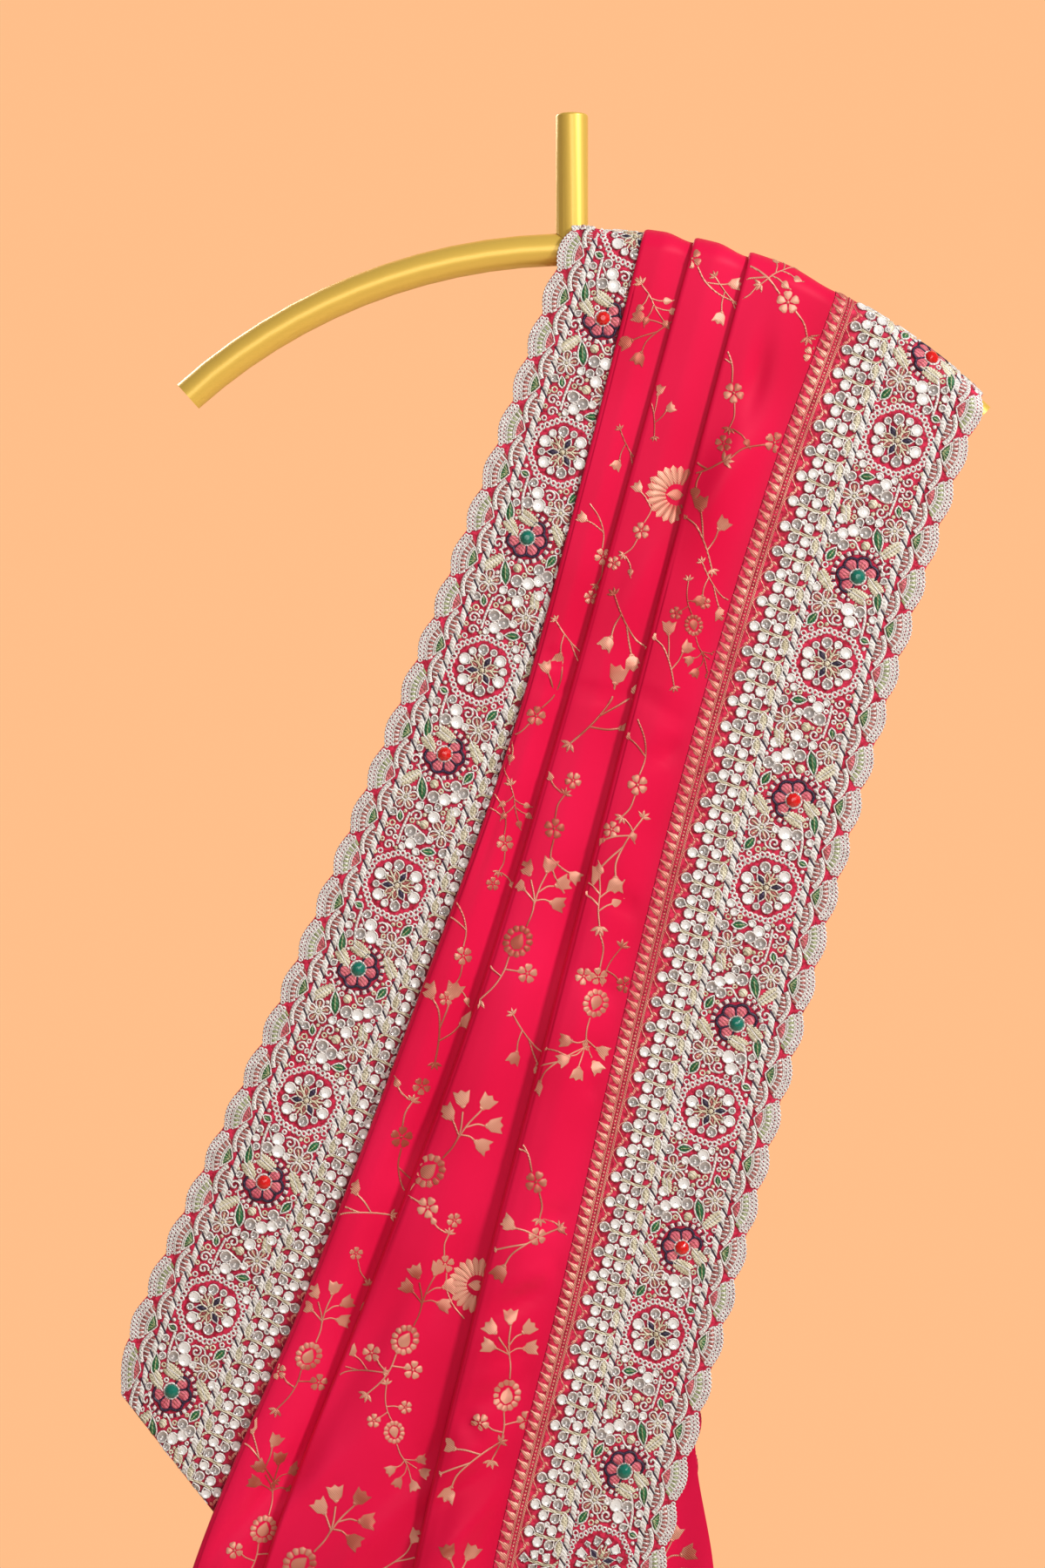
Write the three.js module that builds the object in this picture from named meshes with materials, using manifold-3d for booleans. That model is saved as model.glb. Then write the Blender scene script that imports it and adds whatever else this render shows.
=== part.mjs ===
// A pleated silk sari with embroidered scalloped borders, hung over the bent tube arm of a gold
// hanger. Millimetres. X runs to the right of the front, Z up, and the front faces -Y.
// The origin is the top of the hanger's stem.
import * as THREE from "three";
import { mergeVertices } from "three/addons/utils/BufferGeometryUtils.js";
import Module from "manifold-3d";

// ---- Hanger
const TUBE_RADIUS = 9;
const TUBE_SIDES = 20;
const RIM_ROUND = 1.5; // rounding of the stem's top rim
const ARM_RADIUS = 319; // of the arm's centreline
const ARM_CREST = -75; // height of the centreline under the stem
const ARM_CENTRE = ARM_CREST - ARM_RADIUS;
const ARM_LEFT = -41.9; // degrees round the arm's centre, from straight up
const ARM_RIGHT = 45.1;
const ARM_STEPS = 26;

// ---- Cloth
const GAP = 0.3; // between pieces at a seam
const ARM_GAP = 0.7; // from the tube to the lowest layer, which bends round it in flat facets
const SILK = 1.0; // wall of the body silk
const BORDER = 1.4; // wall of a border, with its embroidery
const LAYER_GAP = 0.35; // between cloth layers
const WRAP_RADIUS = TUBE_RADIUS + ARM_GAP; // inside of the lowest layer over the arm
const PLEAT_WIDTH = 40; // what shows of a pleat, on average
const TUCK = 0.42; // share of a pleat's width that lies doubled under its folded edge
const STEM_FLAP = 8; // the cloth can't pass the stem, so it stands up before and behind it
const FALL_END = -1400; // height of the lower ends, a quarter of 5.5 m under the arm
const BORDER_WIDTH = 93;
const SCALLOP_PITCH = 25.4;
const SCALLOP_DEPTH = 3.5;
const SCALLOP_STEPS = 4;
const EDGE_STRIP = 8; // width of the strip that carries the scallops
const TURNED_GAP = 0.9; // from the front border to its end that is folded behind it

// A pleat's folded edge stands on the pleat before it. These are heights above the lowest layer.
const RETURN_UNDER = BORDER + LAYER_GAP;
const RETURN_TOP = RETURN_UNDER + SILK;
const PANEL_UNDER = RETURN_TOP + LAYER_GAP;
const PANEL_TOP = PANEL_UNDER + SILK;

// Below the arm a pleat puffs out more, most of all just behind its folded edge.
const PUFF = 6;
const PUFF_AT_FOLD = 0.8; // share of the puff that the folded edge itself has
const PUFF_FROM = 0.4; // row from which a pleat has its full puff
const FOLD_WIDTH = 2.4; // from the folded edge to where the cloth has turned round

// The six lines that run down the fall: the outer edge of the left border, the folded edges of
// three pleats, the seam of the right border and its outer edge.
const LINES = ["left", "fold1", "fold2", "fold3", "seam", "right"];
const LEFT_EDGE = 0;
const SEAM = 4;
const RIGHT_EDGE = 5;

// Where each line crosses the arm's crest, in degrees round the arm's centre.
const CREST = { left: -0.6, fold1: 6.9, fold2: 11.8, fold3: 17.3, seam: 26.4, right: 44.2 };
const CREST_RADIUS = ARM_RADIUS + WRAP_RADIUS + 2;

// The front fall sweeps to the left, then turns down. A row is a height with each line's X there.
const FRONT = {
  side: -1,
  crest: CREST,
  rows: [
    { z: -200, left: -50, fold1: 6, fold2: 32, fold3: 66, seam: 110, right: 215 },
    { z: -350, left: -107, fold1: -35, fold2: -10, fold3: 27, seam: 65, right: 169.5 },
    { z: -500, left: -168, fold1: -89, fold2: -56, fold3: -12, seam: 28, right: 130 },
    { z: -650, left: -236, fold1: -146, fold2: -112, fold3: -51, seam: -6, right: 91.5 },
    { z: -800, left: -296, fold1: -208, fold2: -169, fold3: -87, seam: -43, right: 53 },
    { z: -950, left: -340, fold1: -250, fold2: -208, fold3: -116, seam: -68, right: 28 },
    { z: -1150, left: -372, fold1: -283, fold2: -238, fold3: -138, seam: -88, right: 9 },
    { z: -1400, left: -390, fold1: -298, fold2: -252, fold3: -150, seam: -98, right: 0 },
  ],
  waves: { across: 190, phase: 0.6, shallow: 121, shift: 2.2 },
};

// The back fall lies behind the front one and hangs straighter.
const BACK = {
  side: 1,
  crest: CREST,
  rows: [
    { z: -200, left: -45, fold1: 9, fold2: 33, fold3: 66, seam: 107, right: 207 },
    { z: -350, left: -98, fold1: -31, fold2: -7, fold3: 28, seam: 62, right: 160 },
    { z: -500, left: -150, fold1: -78, fold2: -48, fold3: -9, seam: 26, right: 118 },
    { z: -650, left: -184, fold1: -112, fold2: -80, fold3: -38, seam: -2, right: 82 },
    { z: -800, left: -188, fold1: -116, fold2: -84, fold3: -40, seam: -20, right: 68 },
    { z: -950, left: -192, fold1: -118, fold2: -86, fold3: -42, seam: -26, right: 64 },
    { z: -1150, left: -198, fold1: -122, fold2: -90, fold3: -45, seam: -30, right: 61 },
    { z: -1400, left: -202, fold1: -125, fold2: -93, fold3: -48, seam: -33, right: 58 },
  ],
  waves: { across: 170, phase: 2.4, shallow: 113, shift: 0.7 },
};
const DEEP_WAVE = 4; // how far the fall's folds stand forward at its end
const SMALL_WAVE = 1.2;
const WAVES_FROM = -250; // height where the folds start to open
const WAVES_OVER = 1150;

// The front left border is folded behind along this diagonal, X and Z of its two ends.
const TURN = { outer: { x: -252, z: -704 }, inner: { x: -166, z: -813 } };
const TURNED_LENGTH = 105;
const TURNED_RISE = 8.8; // degrees that the turned end climbs to the right

// The inner half of the length: X of its two edges at each height, and its folds.
const INNER_ROWS = [
  { z: -215, from: 52, to: 150 },
  { z: -350, from: 24, to: 138 },
  { z: -500, from: -6, to: 112 },
  { z: -650, from: -34, to: 76 },
  { z: -736, from: -44, to: 68 },
  { z: -803, from: -48, to: 78 },
  { z: -950, from: -52, to: 86 },
  { z: -1385, from: -58, to: 92 },
];
const INNER_FOLD = 1.2;
const INNER_FOLD_PITCH = 38;
const INNER_CLEARANCE = 0.9; // more room behind the front pleats at its lower end
const INNER_COLUMNS = 14;

// Rows down a fall: -1 is the arm's crest, 0 is level with the tube's centre, 1 is the lower end.
const ON_ARM = [-0.8, -0.6, -0.4, -0.2];
const DOWN = [0, 0.04, 0.09, 0.15, 0.22, 0.29, 0.36, 0.43, 0.5, 0.57, 0.64, 0.71, 0.78, 0.85, 0.92, 1];
const CREST_ROW = -1 + GAP / 2 / (WRAP_RADIUS * (Math.PI / 2));
const BORDER_COLUMNS = [0.75, 0.5, 0.25]; // shares of a border's width from its edge
const ROWS = [CREST_ROW, ...ON_ARM, ...DOWN];

const RED_SILK = new THREE.MeshStandardMaterial({ color: 0xd8143f, roughness: 0.42 });
const EMBROIDERY = new THREE.MeshStandardMaterial({ color: 0xc48c92, roughness: 0.6 });
const GOLD = new THREE.MeshStandardMaterial({ color: 0xe0b040, roughness: 0.3, metalness: 0.8 });

const mix = (a, b, share) => a + (b - a) * share;
const radians = (degrees) => (degrees * Math.PI) / 180;
const ease = (share) => THREE.MathUtils.smoothstep(share, 0, 1);

// ---- Solids from vertices

// A geometry from points and triangles, with its faces turned outwards.
function closed(points, faces) {
  const volume = faces.reduce((sum, [a, b, c]) => {
    const [p, q, r] = [points[a], points[b], points[c]];
    return sum + p.dot(new THREE.Vector3().crossVectors(q, r));
  }, 0);
  const turned = volume < 0 ? faces.map(([a, b, c]) => [a, c, b]) : faces;
  const geometry = new THREE.BufferGeometry();
  const flat = points.flatMap((p) => [p.x, p.y, p.z]);
  geometry.setAttribute("position", new THREE.Float32BufferAttribute(flat, 3));
  geometry.setIndex(turned.flat());
  geometry.computeVertexNormals();
  return geometry;
}

// A sheet of columns that run down the cloth. Columns next to each other may have other rows.
function sheet(columns) {
  const points = [];
  const starts = columns.map(({ u, rows }) => points.push(...rows.map((v) => [u, v])) - rows.length);
  const faces = [];
  for (let i = 1; i < columns.length; i++) {
    const [a, b] = [columns[i - 1].rows, columns[i].rows];
    let [j, k] = [0, 0];
    while (j < a.length - 1 || k < b.length - 1) {
      const stepLeft = k === b.length - 1 || (j < a.length - 1 && a[j + 1] <= b[k + 1]);
      const [p, q] = [starts[i - 1] + j, starts[i] + k];
      faces.push(stepLeft ? [p, p + 1, q] : [p, q + 1, q]);
      if (stepLeft) j++;
      else k++;
    }
  }
  return { points, faces };
}

// A wall: a sheet's points placed on its inside and its outside, and closed along the rim.
function wall({ points, faces }, place) {
  const count = points.length;
  const placed = [false, true].flatMap((outside) => points.map(([u, v]) => place(u, v, outside)));
  const edges = new Map();
  for (const face of faces)
    for (let i = 0; i < 3; i++) {
      const [a, b] = [face[i], face[(i + 1) % 3]];
      if (!edges.delete(b + "," + a)) edges.set(a + "," + b, [a, b]);
    }
  const rim = [...edges.values()].flatMap(([a, b]) => [
    [a, b, b + count],
    [a, b + count, a + count],
  ]);
  const outside = faces.map((face) => face.map((i) => i + count));
  return closed(placed, [...faces.map(([a, b, c]) => [a, c, b]), ...outside, ...rim]);
}

// A solid through rings of the same section, capped at both ends.
function loft(rings, section) {
  const n = section.length;
  const faces = [];
  for (let i = 1; i < rings.length; i++)
    for (let j = 0; j < n; j++) {
      const [a, b] = [(i - 1) * n + j, (i - 1) * n + ((j + 1) % n)];
      faces.push([a, b, b + n], [a, b + n, a + n]);
    }
  const cap = THREE.ShapeUtils.triangulateShape(section, []);
  const area = THREE.ShapeUtils.area(section);
  const first = cap.map(([a, b, c]) => [a, c, b]);
  const last = cap.map((face) => face.map((i) => i + (rings.length - 1) * n));
  const ends = [...first, ...last].map(([a, b, c]) => (area < 0 ? [a, c, b] : [a, b, c]));
  return closed(rings.flat(), [...faces, ...ends]);
}

// ---- Where the cloth lies

// The knots of a line, from the crest down.
function knots(fall, line) {
  const angle = radians(fall.crest[LINES[line]]);
  const crest = { z: ARM_CENTRE + CREST_RADIUS * Math.cos(angle), x: CREST_RADIUS * Math.sin(angle) };
  return [crest, ...fall.rows.map((row) => ({ z: row.z, x: row[LINES[line]] }))];
}

// A smooth curve of X over height through knots, carried on straight past its ends.
function curveX(points, z) {
  const last = points.length - 1;
  const steep = (i) => (points[i + 1].x - points[i].x) / (points[i + 1].z - points[i].z);
  const slope = (i) => (i === 0 ? steep(0) : i === last ? steep(last - 1) : (steep(i - 1) + steep(i)) / 2);
  if (z >= points[0].z) return points[0].x + slope(0) * (z - points[0].z);
  if (z <= points[last].z) return points[last].x + slope(last) * (z - points[last].z);
  const i = points.findIndex((p, at) => z <= p.z && z > points[at + 1].z);
  const span = points[i + 1].z - points[i].z;
  const t = (z - points[i].z) / span;
  return (
    points[i].x * (1 + 2 * t) * (1 - t) ** 2 +
    span * slope(i) * t * (1 - t) ** 2 +
    points[i + 1].x * t * t * (3 - 2 * t) +
    span * slope(i + 1) * t * t * (t - 1)
  );
}

// X at a height of the line s, where whole numbers are LINES and others lie between them.
function acrossX(fall, s, z) {
  const line = Math.min(Math.max(Math.floor(s), 0), LINES.length - 2);
  return mix(curveX(knots(fall, line), z), curveX(knots(fall, line + 1), z), s - line);
}

const aboveArm = (x, z) => Math.hypot(x, z - ARM_CENTRE) - ARM_RADIUS;

// The height at which line s is that far above the arm's centreline.
function heightOnArm(fall, s, above) {
  let [low, high] = [-320, 0];
  for (let i = 0; i < 40; i++) {
    const middle = (low + high) / 2;
    if (aboveArm(acrossX(fall, s, middle), middle) > above) high = middle;
    else low = middle;
  }
  return low;
}

// How far the fall's soft folds stand forward at a place.
function foldDepth(fall, x, z) {
  const { across, phase, shallow, shift } = fall.waves;
  const from = x - acrossX(fall, 3, z);
  const deep = 1 + Math.sin((2 * Math.PI * from) / across + phase);
  const small = 1 + Math.sin((2 * Math.PI * from) / shallow + shift);
  return ease((WAVES_FROM - z) / WAVES_OVER) * (DEEP_WAVE * deep + SMALL_WAVE * small);
}

// A point of the fall: line s, row down the fall, and height above the lowest layer.
function onFall(fall, s, row, level, end = () => FALL_END) {
  const radius = WRAP_RADIUS + level;
  if (row < 0) {
    const turn = (row + 1) * (Math.PI / 2);
    const z = heightOnArm(fall, s, radius * Math.cos(turn));
    const x = acrossX(fall, s, z);
    const besideStem = 1 - ease((Math.abs(x) - WRAP_RADIUS) / STEM_FLAP);
    return new THREE.Vector3(x, fall.side * radius * Math.max(Math.sin(turn), besideStem), z);
  }
  const z = mix(heightOnArm(fall, s, 0), end(s), row);
  const x = acrossX(fall, s, z);
  return new THREE.Vector3(x, fall.side * (radius + foldDepth(fall, x, z)), z);
}

// ---- Pieces of cloth

// A pleat's panel from its fold to the next one: the share of the way across, the share of the
// height that it has over the tucked part, and the share of its puff.
const PANEL = [
  { share: 0.2, raised: 1, puffed: 1 },
  { share: 0.38, raised: 1, puffed: 0.92 },
  { share: 0.54, raised: 0.85, puffed: 0.7 },
  { share: 0.7, raised: 0.45, puffed: 0.36 },
  { share: 0.84, raised: 0.12, puffed: 0.1 },
  { share: 0.95, raised: 0, puffed: 0 },
];

// A pleat's section, a closed outline. A point has its share of the way across to the next line,
// millimetres more, and its level.
function pleatSection(tucked, puff) {
  const under = PANEL.map(({ share, raised, puffed }) => {
    return { share, mm: 0, level: PANEL_UNDER * raised + puff * puffed };
  });
  under.push({ share: 1, mm: tucked ? 0 : -GAP / 2, level: 0 });
  if (tucked) under.push({ share: 1 + TUCK, mm: 0, level: 0 });
  const over = under.map((p) => ({ ...p, level: p.level + SILK })).reverse();
  const high = (PANEL_TOP + puff * PUFF_AT_FOLD - RETURN_UNDER) / 2;
  const bend = (inset, steps) =>
    Array.from({ length: steps + 1 }, (_, i) => {
      const turn = (i / steps) * Math.PI;
      const mm = FOLD_WIDTH - (FOLD_WIDTH - inset) * Math.sin(turn);
      return { share: 0, mm, level: RETURN_UNDER + high + (high - inset) * Math.cos(turn) };
    });
  const end = [
    { share: TUCK, mm: 0, level: RETURN_UNDER },
    { share: TUCK, mm: 0, level: RETURN_TOP },
  ];
  return [...over, ...bend(0, 5), ...end, ...bend(SILK, 3).reverse(), ...under];
}

// How far a pleat puffs out at a row: flat over the arm, more where it hangs free.
const puffAt = (row) => PUFF * ease(Math.max(row, 0) / PUFF_FROM);

function pleat(fall, line) {
  const tucked = line < SEAM - 1;
  const rings = ROWS.map((row) => {
    const at = onFall(fall, line, row, 0);
    const width = acrossX(fall, line + 1, at.z) - at.x;
    return pleatSection(tucked, puffAt(row)).map(({ share, mm, level }) =>
      onFall(fall, line + share + mm / width, row, level),
    );
  });
  const flat = ({ share, mm, level }) => new THREE.Vector2(share * PLEAT_WIDTH + mm, level);
  return loft(rings, pleatSection(tucked, PUFF / 2).map(flat));
}

// How far the scalloped edge is set in, at a distance down the fall.
const scallop = (down) => SCALLOP_DEPTH * (1 - Math.abs(Math.cos((Math.PI * down) / SCALLOP_PITCH)));

// A border from its hidden or sewn side to its scalloped edge.
function border(fall, sewn, edge, end = () => FALL_END) {
  const inwards = Math.sign(sewn - edge);
  const top = onFall(fall, edge, 0, 0, end);
  const length = onFall(fall, edge, 1, 0, end).distanceTo(top);
  const steps = Math.round(length / SCALLOP_PITCH) * SCALLOP_STEPS;
  const fine = Array.from({ length: steps + 1 }, (_, i) => i / steps);
  const width = Math.abs(acrossX(fall, Math.round(sewn), -500) - acrossX(fall, edge, -500));
  const strip = edge + (inwards * EDGE_STRIP) / width;
  const plain = [sewn, ...BORDER_COLUMNS.map((share) => mix(edge, edge + inwards, share)), strip];
  const columns = plain.map((u) => ({ u, rows: ROWS }));
  columns.push({ u: edge, rows: [...ROWS.filter((row) => row < 0), ...fine] });
  return wall(sheet(columns), (s, row, outside) => {
    const setIn = s === edge && row > 0 ? (inwards * scallop(row * length)) / width : 0;
    return onFall(fall, s + setIn, row, outside ? BORDER : 0, end);
  });
}

// The height at which line s of the front fall meets the diagonal fold.
function turnHeight(s) {
  const slope = (TURN.inner.z - TURN.outer.z) / (TURN.inner.x - TURN.outer.x);
  let [low, high] = [-1000, -600];
  for (let i = 0; i < 40; i++) {
    const middle = (low + high) / 2;
    const fold = TURN.outer.z + slope * (acrossX(FRONT, s, middle) - TURN.outer.x);
    if (middle > fold) high = middle;
    else low = middle;
  }
  return low;
}

// The end of the left border that is folded behind: v runs along the fold, u away from it.
function turnedBorder() {
  const along = Array.from({ length: 6 }, (_, i) => i / 5);
  const columns = [0, 0.25, 0.5, 0.75, 1].map((u) => ({ u, rows: along }));
  const rise = radians(TURNED_RISE);
  return wall(sheet(columns), (u, v, outside) => {
    const x = mix(TURN.outer.x, TURN.inner.x, v) + Math.cos(rise) * u * TURNED_LENGTH;
    const z = mix(TURN.outer.z, TURN.inner.z, v) + Math.sin(rise) * u * TURNED_LENGTH;
    const level = -TURNED_GAP - (outside ? 0 : BORDER);
    return new THREE.Vector3(x, -(WRAP_RADIUS + level + foldDepth(FRONT, x, z)), z);
  });
}

// The inner half, which hangs straight down behind the front pleats in narrow folds.
function innerSilk() {
  const top = INNER_ROWS[0].z;
  const bottom = INNER_ROWS[INNER_ROWS.length - 1].z;
  const edge = (name, z) => curveX(INNER_ROWS.map((row) => ({ z: row.z, x: row[name] })), z);
  const rows = Array.from({ length: 15 }, (_, i) => i / 14);
  const shares = Array.from({ length: INNER_COLUMNS + 1 }, (_, i) => i / INNER_COLUMNS);
  const columns = shares.map((u) => ({ u, rows }));
  return wall(sheet(columns), (u, v, outside) => {
    const z = mix(top, bottom, v);
    const x = mix(edge("from", z), edge("to", z), u);
    const fold = ease(v * 3) * INNER_FOLD * (1 - Math.cos((2 * Math.PI * x) / INNER_FOLD_PITCH));
    const level = -LAYER_GAP - ease(v) * INNER_CLEARANCE - fold - (outside ? 0 : SILK);
    return new THREE.Vector3(x, -(WRAP_RADIUS + level + foldDepth(FRONT, x, z)), z);
  });
}

// ---- Hanger

class ArmCurve extends THREE.Curve {
  getPoint(share, target = new THREE.Vector3()) {
    const angle = radians(mix(ARM_LEFT, ARM_RIGHT, share));
    return target.set(ARM_RADIUS * Math.sin(angle), 0, ARM_CENTRE + ARM_RADIUS * Math.cos(angle));
  }
}

function armTube(radius) {
  const round = new THREE.EllipseCurve(0, 0, radius, radius).getPoints(TUBE_SIDES);
  const circle = new THREE.Shape(round.slice(0, -1));
  return new THREE.ExtrudeGeometry(circle, {
    extrudePath: new ArmCurve(),
    steps: ARM_STEPS,
    bevelEnabled: false,
  });
}

const wasm = await Module();
wasm.setup();

function manifold(geometry) {
  const bare = geometry.clone().deleteAttribute("normal").deleteAttribute("uv");
  const merged = mergeVertices(bare, 1e-3);
  const vertProperties = merged.attributes.position.array;
  const triVerts = new Uint32Array(merged.index.array);
  return new wasm.Manifold(new wasm.Mesh({ numProp: 3, vertProperties, triVerts }));
}

// The stem, with a rounded rim on top and its foot cut to the arm it is welded to.
function stem() {
  const profile = [new THREE.Vector2(0, ARM_CREST)];
  profile.push(new THREE.Vector2(TUBE_RADIUS, ARM_CREST));
  for (let i = 0; i <= 3; i++) {
    const turn = (i / 3) * (Math.PI / 2);
    const out = TUBE_RADIUS - RIM_ROUND * (1 - Math.cos(turn));
    profile.push(new THREE.Vector2(out, -RIM_ROUND * (1 - Math.sin(turn))));
  }
  profile.push(new THREE.Vector2(0, 0));
  const turned = new THREE.LatheGeometry(profile, TUBE_SIDES).rotateX(Math.PI / 2);
  const room = manifold(armTube(TUBE_RADIUS + GAP));
  const { vertProperties, triVerts } = manifold(turned).subtract(room).getMesh();
  const geometry = new THREE.BufferGeometry();
  geometry.setAttribute("position", new THREE.BufferAttribute(vertProperties, 3));
  geometry.setIndex(new THREE.BufferAttribute(triVerts, 1));
  geometry.computeVertexNormals();
  return geometry;
}

// ---- The whole

const part = new THREE.Group();

function add(name, geometry, material) {
  const mesh = new THREE.Mesh(geometry, material);
  mesh.name = name;
  part.add(mesh);
}

add("hanger_arm", armTube(TUBE_RADIUS), GOLD);
add("hanger_stem", stem(), GOLD);

const underFirstPleat = 1 + TUCK;
add("front_border_left", border(FRONT, underFirstPleat, LEFT_EDGE, turnHeight), EMBROIDERY);
add("back_border_left", border(BACK, underFirstPleat, LEFT_EDGE), EMBROIDERY);

for (const [side, fall] of Object.entries({ front: FRONT, back: BACK })) {
  for (const line of [1, 2, 3]) add(`${side}_pleat_${line}`, pleat(fall, line), RED_SILK);
  const seam = SEAM + GAP / 2 / BORDER_WIDTH;
  add(`${side}_border_right`, border(fall, seam, RIGHT_EDGE), EMBROIDERY);
}

add("border_turnback", turnedBorder(), EMBROIDERY);
add("inner_silk", innerSilk(), RED_SILK);

export default part;
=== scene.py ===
"""A pleated red silk sari with embroidered scalloped borders, hung over the arm of a gold hanger.

Lengths are in millimetres and become metres where a mesh is made. X runs to the right, Z up,
and the front faces -Y. The cloth is worked out as lines that run down each fall, as its solids
are: line 0 is the left border's outer edge, 1 to 3 are the pleats' folded edges, 4 is the right
border's seam and 5 its outer edge.
"""

import math

import bpy
import numpy as np
from mathutils.kdtree import KDTree
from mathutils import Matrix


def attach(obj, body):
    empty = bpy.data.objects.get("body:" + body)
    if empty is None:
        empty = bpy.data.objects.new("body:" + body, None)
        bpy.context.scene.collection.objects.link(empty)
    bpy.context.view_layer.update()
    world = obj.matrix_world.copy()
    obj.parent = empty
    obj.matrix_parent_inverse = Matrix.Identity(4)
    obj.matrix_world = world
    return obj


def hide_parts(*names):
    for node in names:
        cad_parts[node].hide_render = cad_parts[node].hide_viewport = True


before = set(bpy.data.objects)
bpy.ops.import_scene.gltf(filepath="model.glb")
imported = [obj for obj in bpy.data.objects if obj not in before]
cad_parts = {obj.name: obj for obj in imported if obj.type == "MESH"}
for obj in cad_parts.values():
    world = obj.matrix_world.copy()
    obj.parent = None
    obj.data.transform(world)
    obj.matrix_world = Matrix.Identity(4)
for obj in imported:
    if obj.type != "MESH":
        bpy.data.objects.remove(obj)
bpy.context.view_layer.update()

# ---- The same sizes as the solids
TUBE_RADIUS = 9.0
ARM_RADIUS = 319.0
ARM_CENTRE = -75.0 - ARM_RADIUS
ARM_GAP = 0.7
SILK = 1.0
BORDER = 1.4
LAYER_GAP = 0.35
WRAP_RADIUS = TUBE_RADIUS + ARM_GAP
TUCK = 0.42
STEM_FLAP = 8.0
FALL_END = -1400.0
SCALLOP_PITCH = 25.4
SCALLOP_DEPTH = 3.5
TURNED_GAP = 0.9
RETURN_UNDER = BORDER + LAYER_GAP
PANEL_UNDER = RETURN_UNDER + SILK + LAYER_GAP
PANEL_TOP = PANEL_UNDER + SILK
PUFF = 6.0
PUFF_AT_FOLD = 0.8
PUFF_FROM = 0.4
# Shares of a panel's width: from where it sinks onto the next line, and over how much.
SINKS_FROM, SINKS_OVER = 0.38, 0.57
PUFF_SINKS_FROM, PUFF_SINKS_OVER, PUFF_RISES_OVER = 0.3, 0.65, 0.2
FOLD_WIDTH = 2.4
DEEP_WAVE = 4.0
SMALL_WAVE = 1.2
WAVES_FROM = -250.0
WAVES_OVER = 1150.0
CREST_ANGLES = (-0.6, 6.9, 11.8, 17.3, 26.4, 44.2)
CREST_RADIUS = ARM_RADIUS + WRAP_RADIUS + 2
LEFT, SEAM, RIGHT = 0, 4, 5

# A row is a height and each line's X there.
FRONT_ROWS = (
    (-200, -50, 6, 32, 66, 110, 215),
    (-350, -107, -35, -10, 27, 65, 169.5),
    (-500, -168, -89, -56, -12, 28, 130),
    (-650, -236, -146, -112, -51, -6, 91.5),
    (-800, -296, -208, -169, -87, -43, 53),
    (-950, -340, -250, -208, -116, -68, 28),
    (-1150, -372, -283, -238, -138, -88, 9),
    (-1400, -390, -298, -252, -150, -98, 0),
)
BACK_ROWS = (
    (-200, -45, 9, 33, 66, 107, 207),
    (-350, -98, -31, -7, 28, 62, 160),
    (-500, -150, -78, -48, -9, 26, 118),
    (-650, -184, -112, -80, -38, -2, 82),
    (-800, -188, -116, -84, -40, -20, 68),
    (-950, -192, -118, -86, -42, -26, 64),
    (-1150, -198, -122, -90, -45, -30, 61),
    (-1400, -202, -125, -93, -48, -33, 58),
)
# The left border is folded behind along this diagonal.
TURN_OUTER = np.array((-252.0, -704.0))
TURN = np.array((-166.0, -813.0)) - TURN_OUTER
TURN_WAY = TURN / np.linalg.norm(TURN)
TURNED_LENGTH = 105.0
TURN_BEND = 2.2
CORNER_PULL, CORNER_LENGTH = 9.0, 24.0  # of the rounded outer corner
CORNER_SLACK = 1.5
# Height and the two edges of the inner half of the length.
INNER_ROWS = (
    (-215, 52, 150),
    (-350, 24, 138),
    (-500, -6, 112),
    (-650, -34, 76),
    (-736, -44, 68),
    (-803, -48, 78),
    (-950, -52, 86),
    (-1385, -58, 92),
)
INNER_FOLD = 1.2
INNER_FOLD_PITCH = 38.0
INNER_CLEARANCE = 0.9

# ---- Sizes of what is only seen
WRAP_FLAT = (WRAP_RADIUS + 2) * math.pi / 2  # cloth from level with the tube to its crest
CHART_WIDTH = 96.0  # of a border, from its scalloped edge to its woven points
REPEAT = 5 * SCALLOP_PITCH  # of a border's pattern
CREASE_DEPTH = 1.9
CREASE_LEAN = 0.9  # steeper on one side than on the other
CREASE_MARGIN = 0.3  # where creases fade out beside a border, in lines
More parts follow.
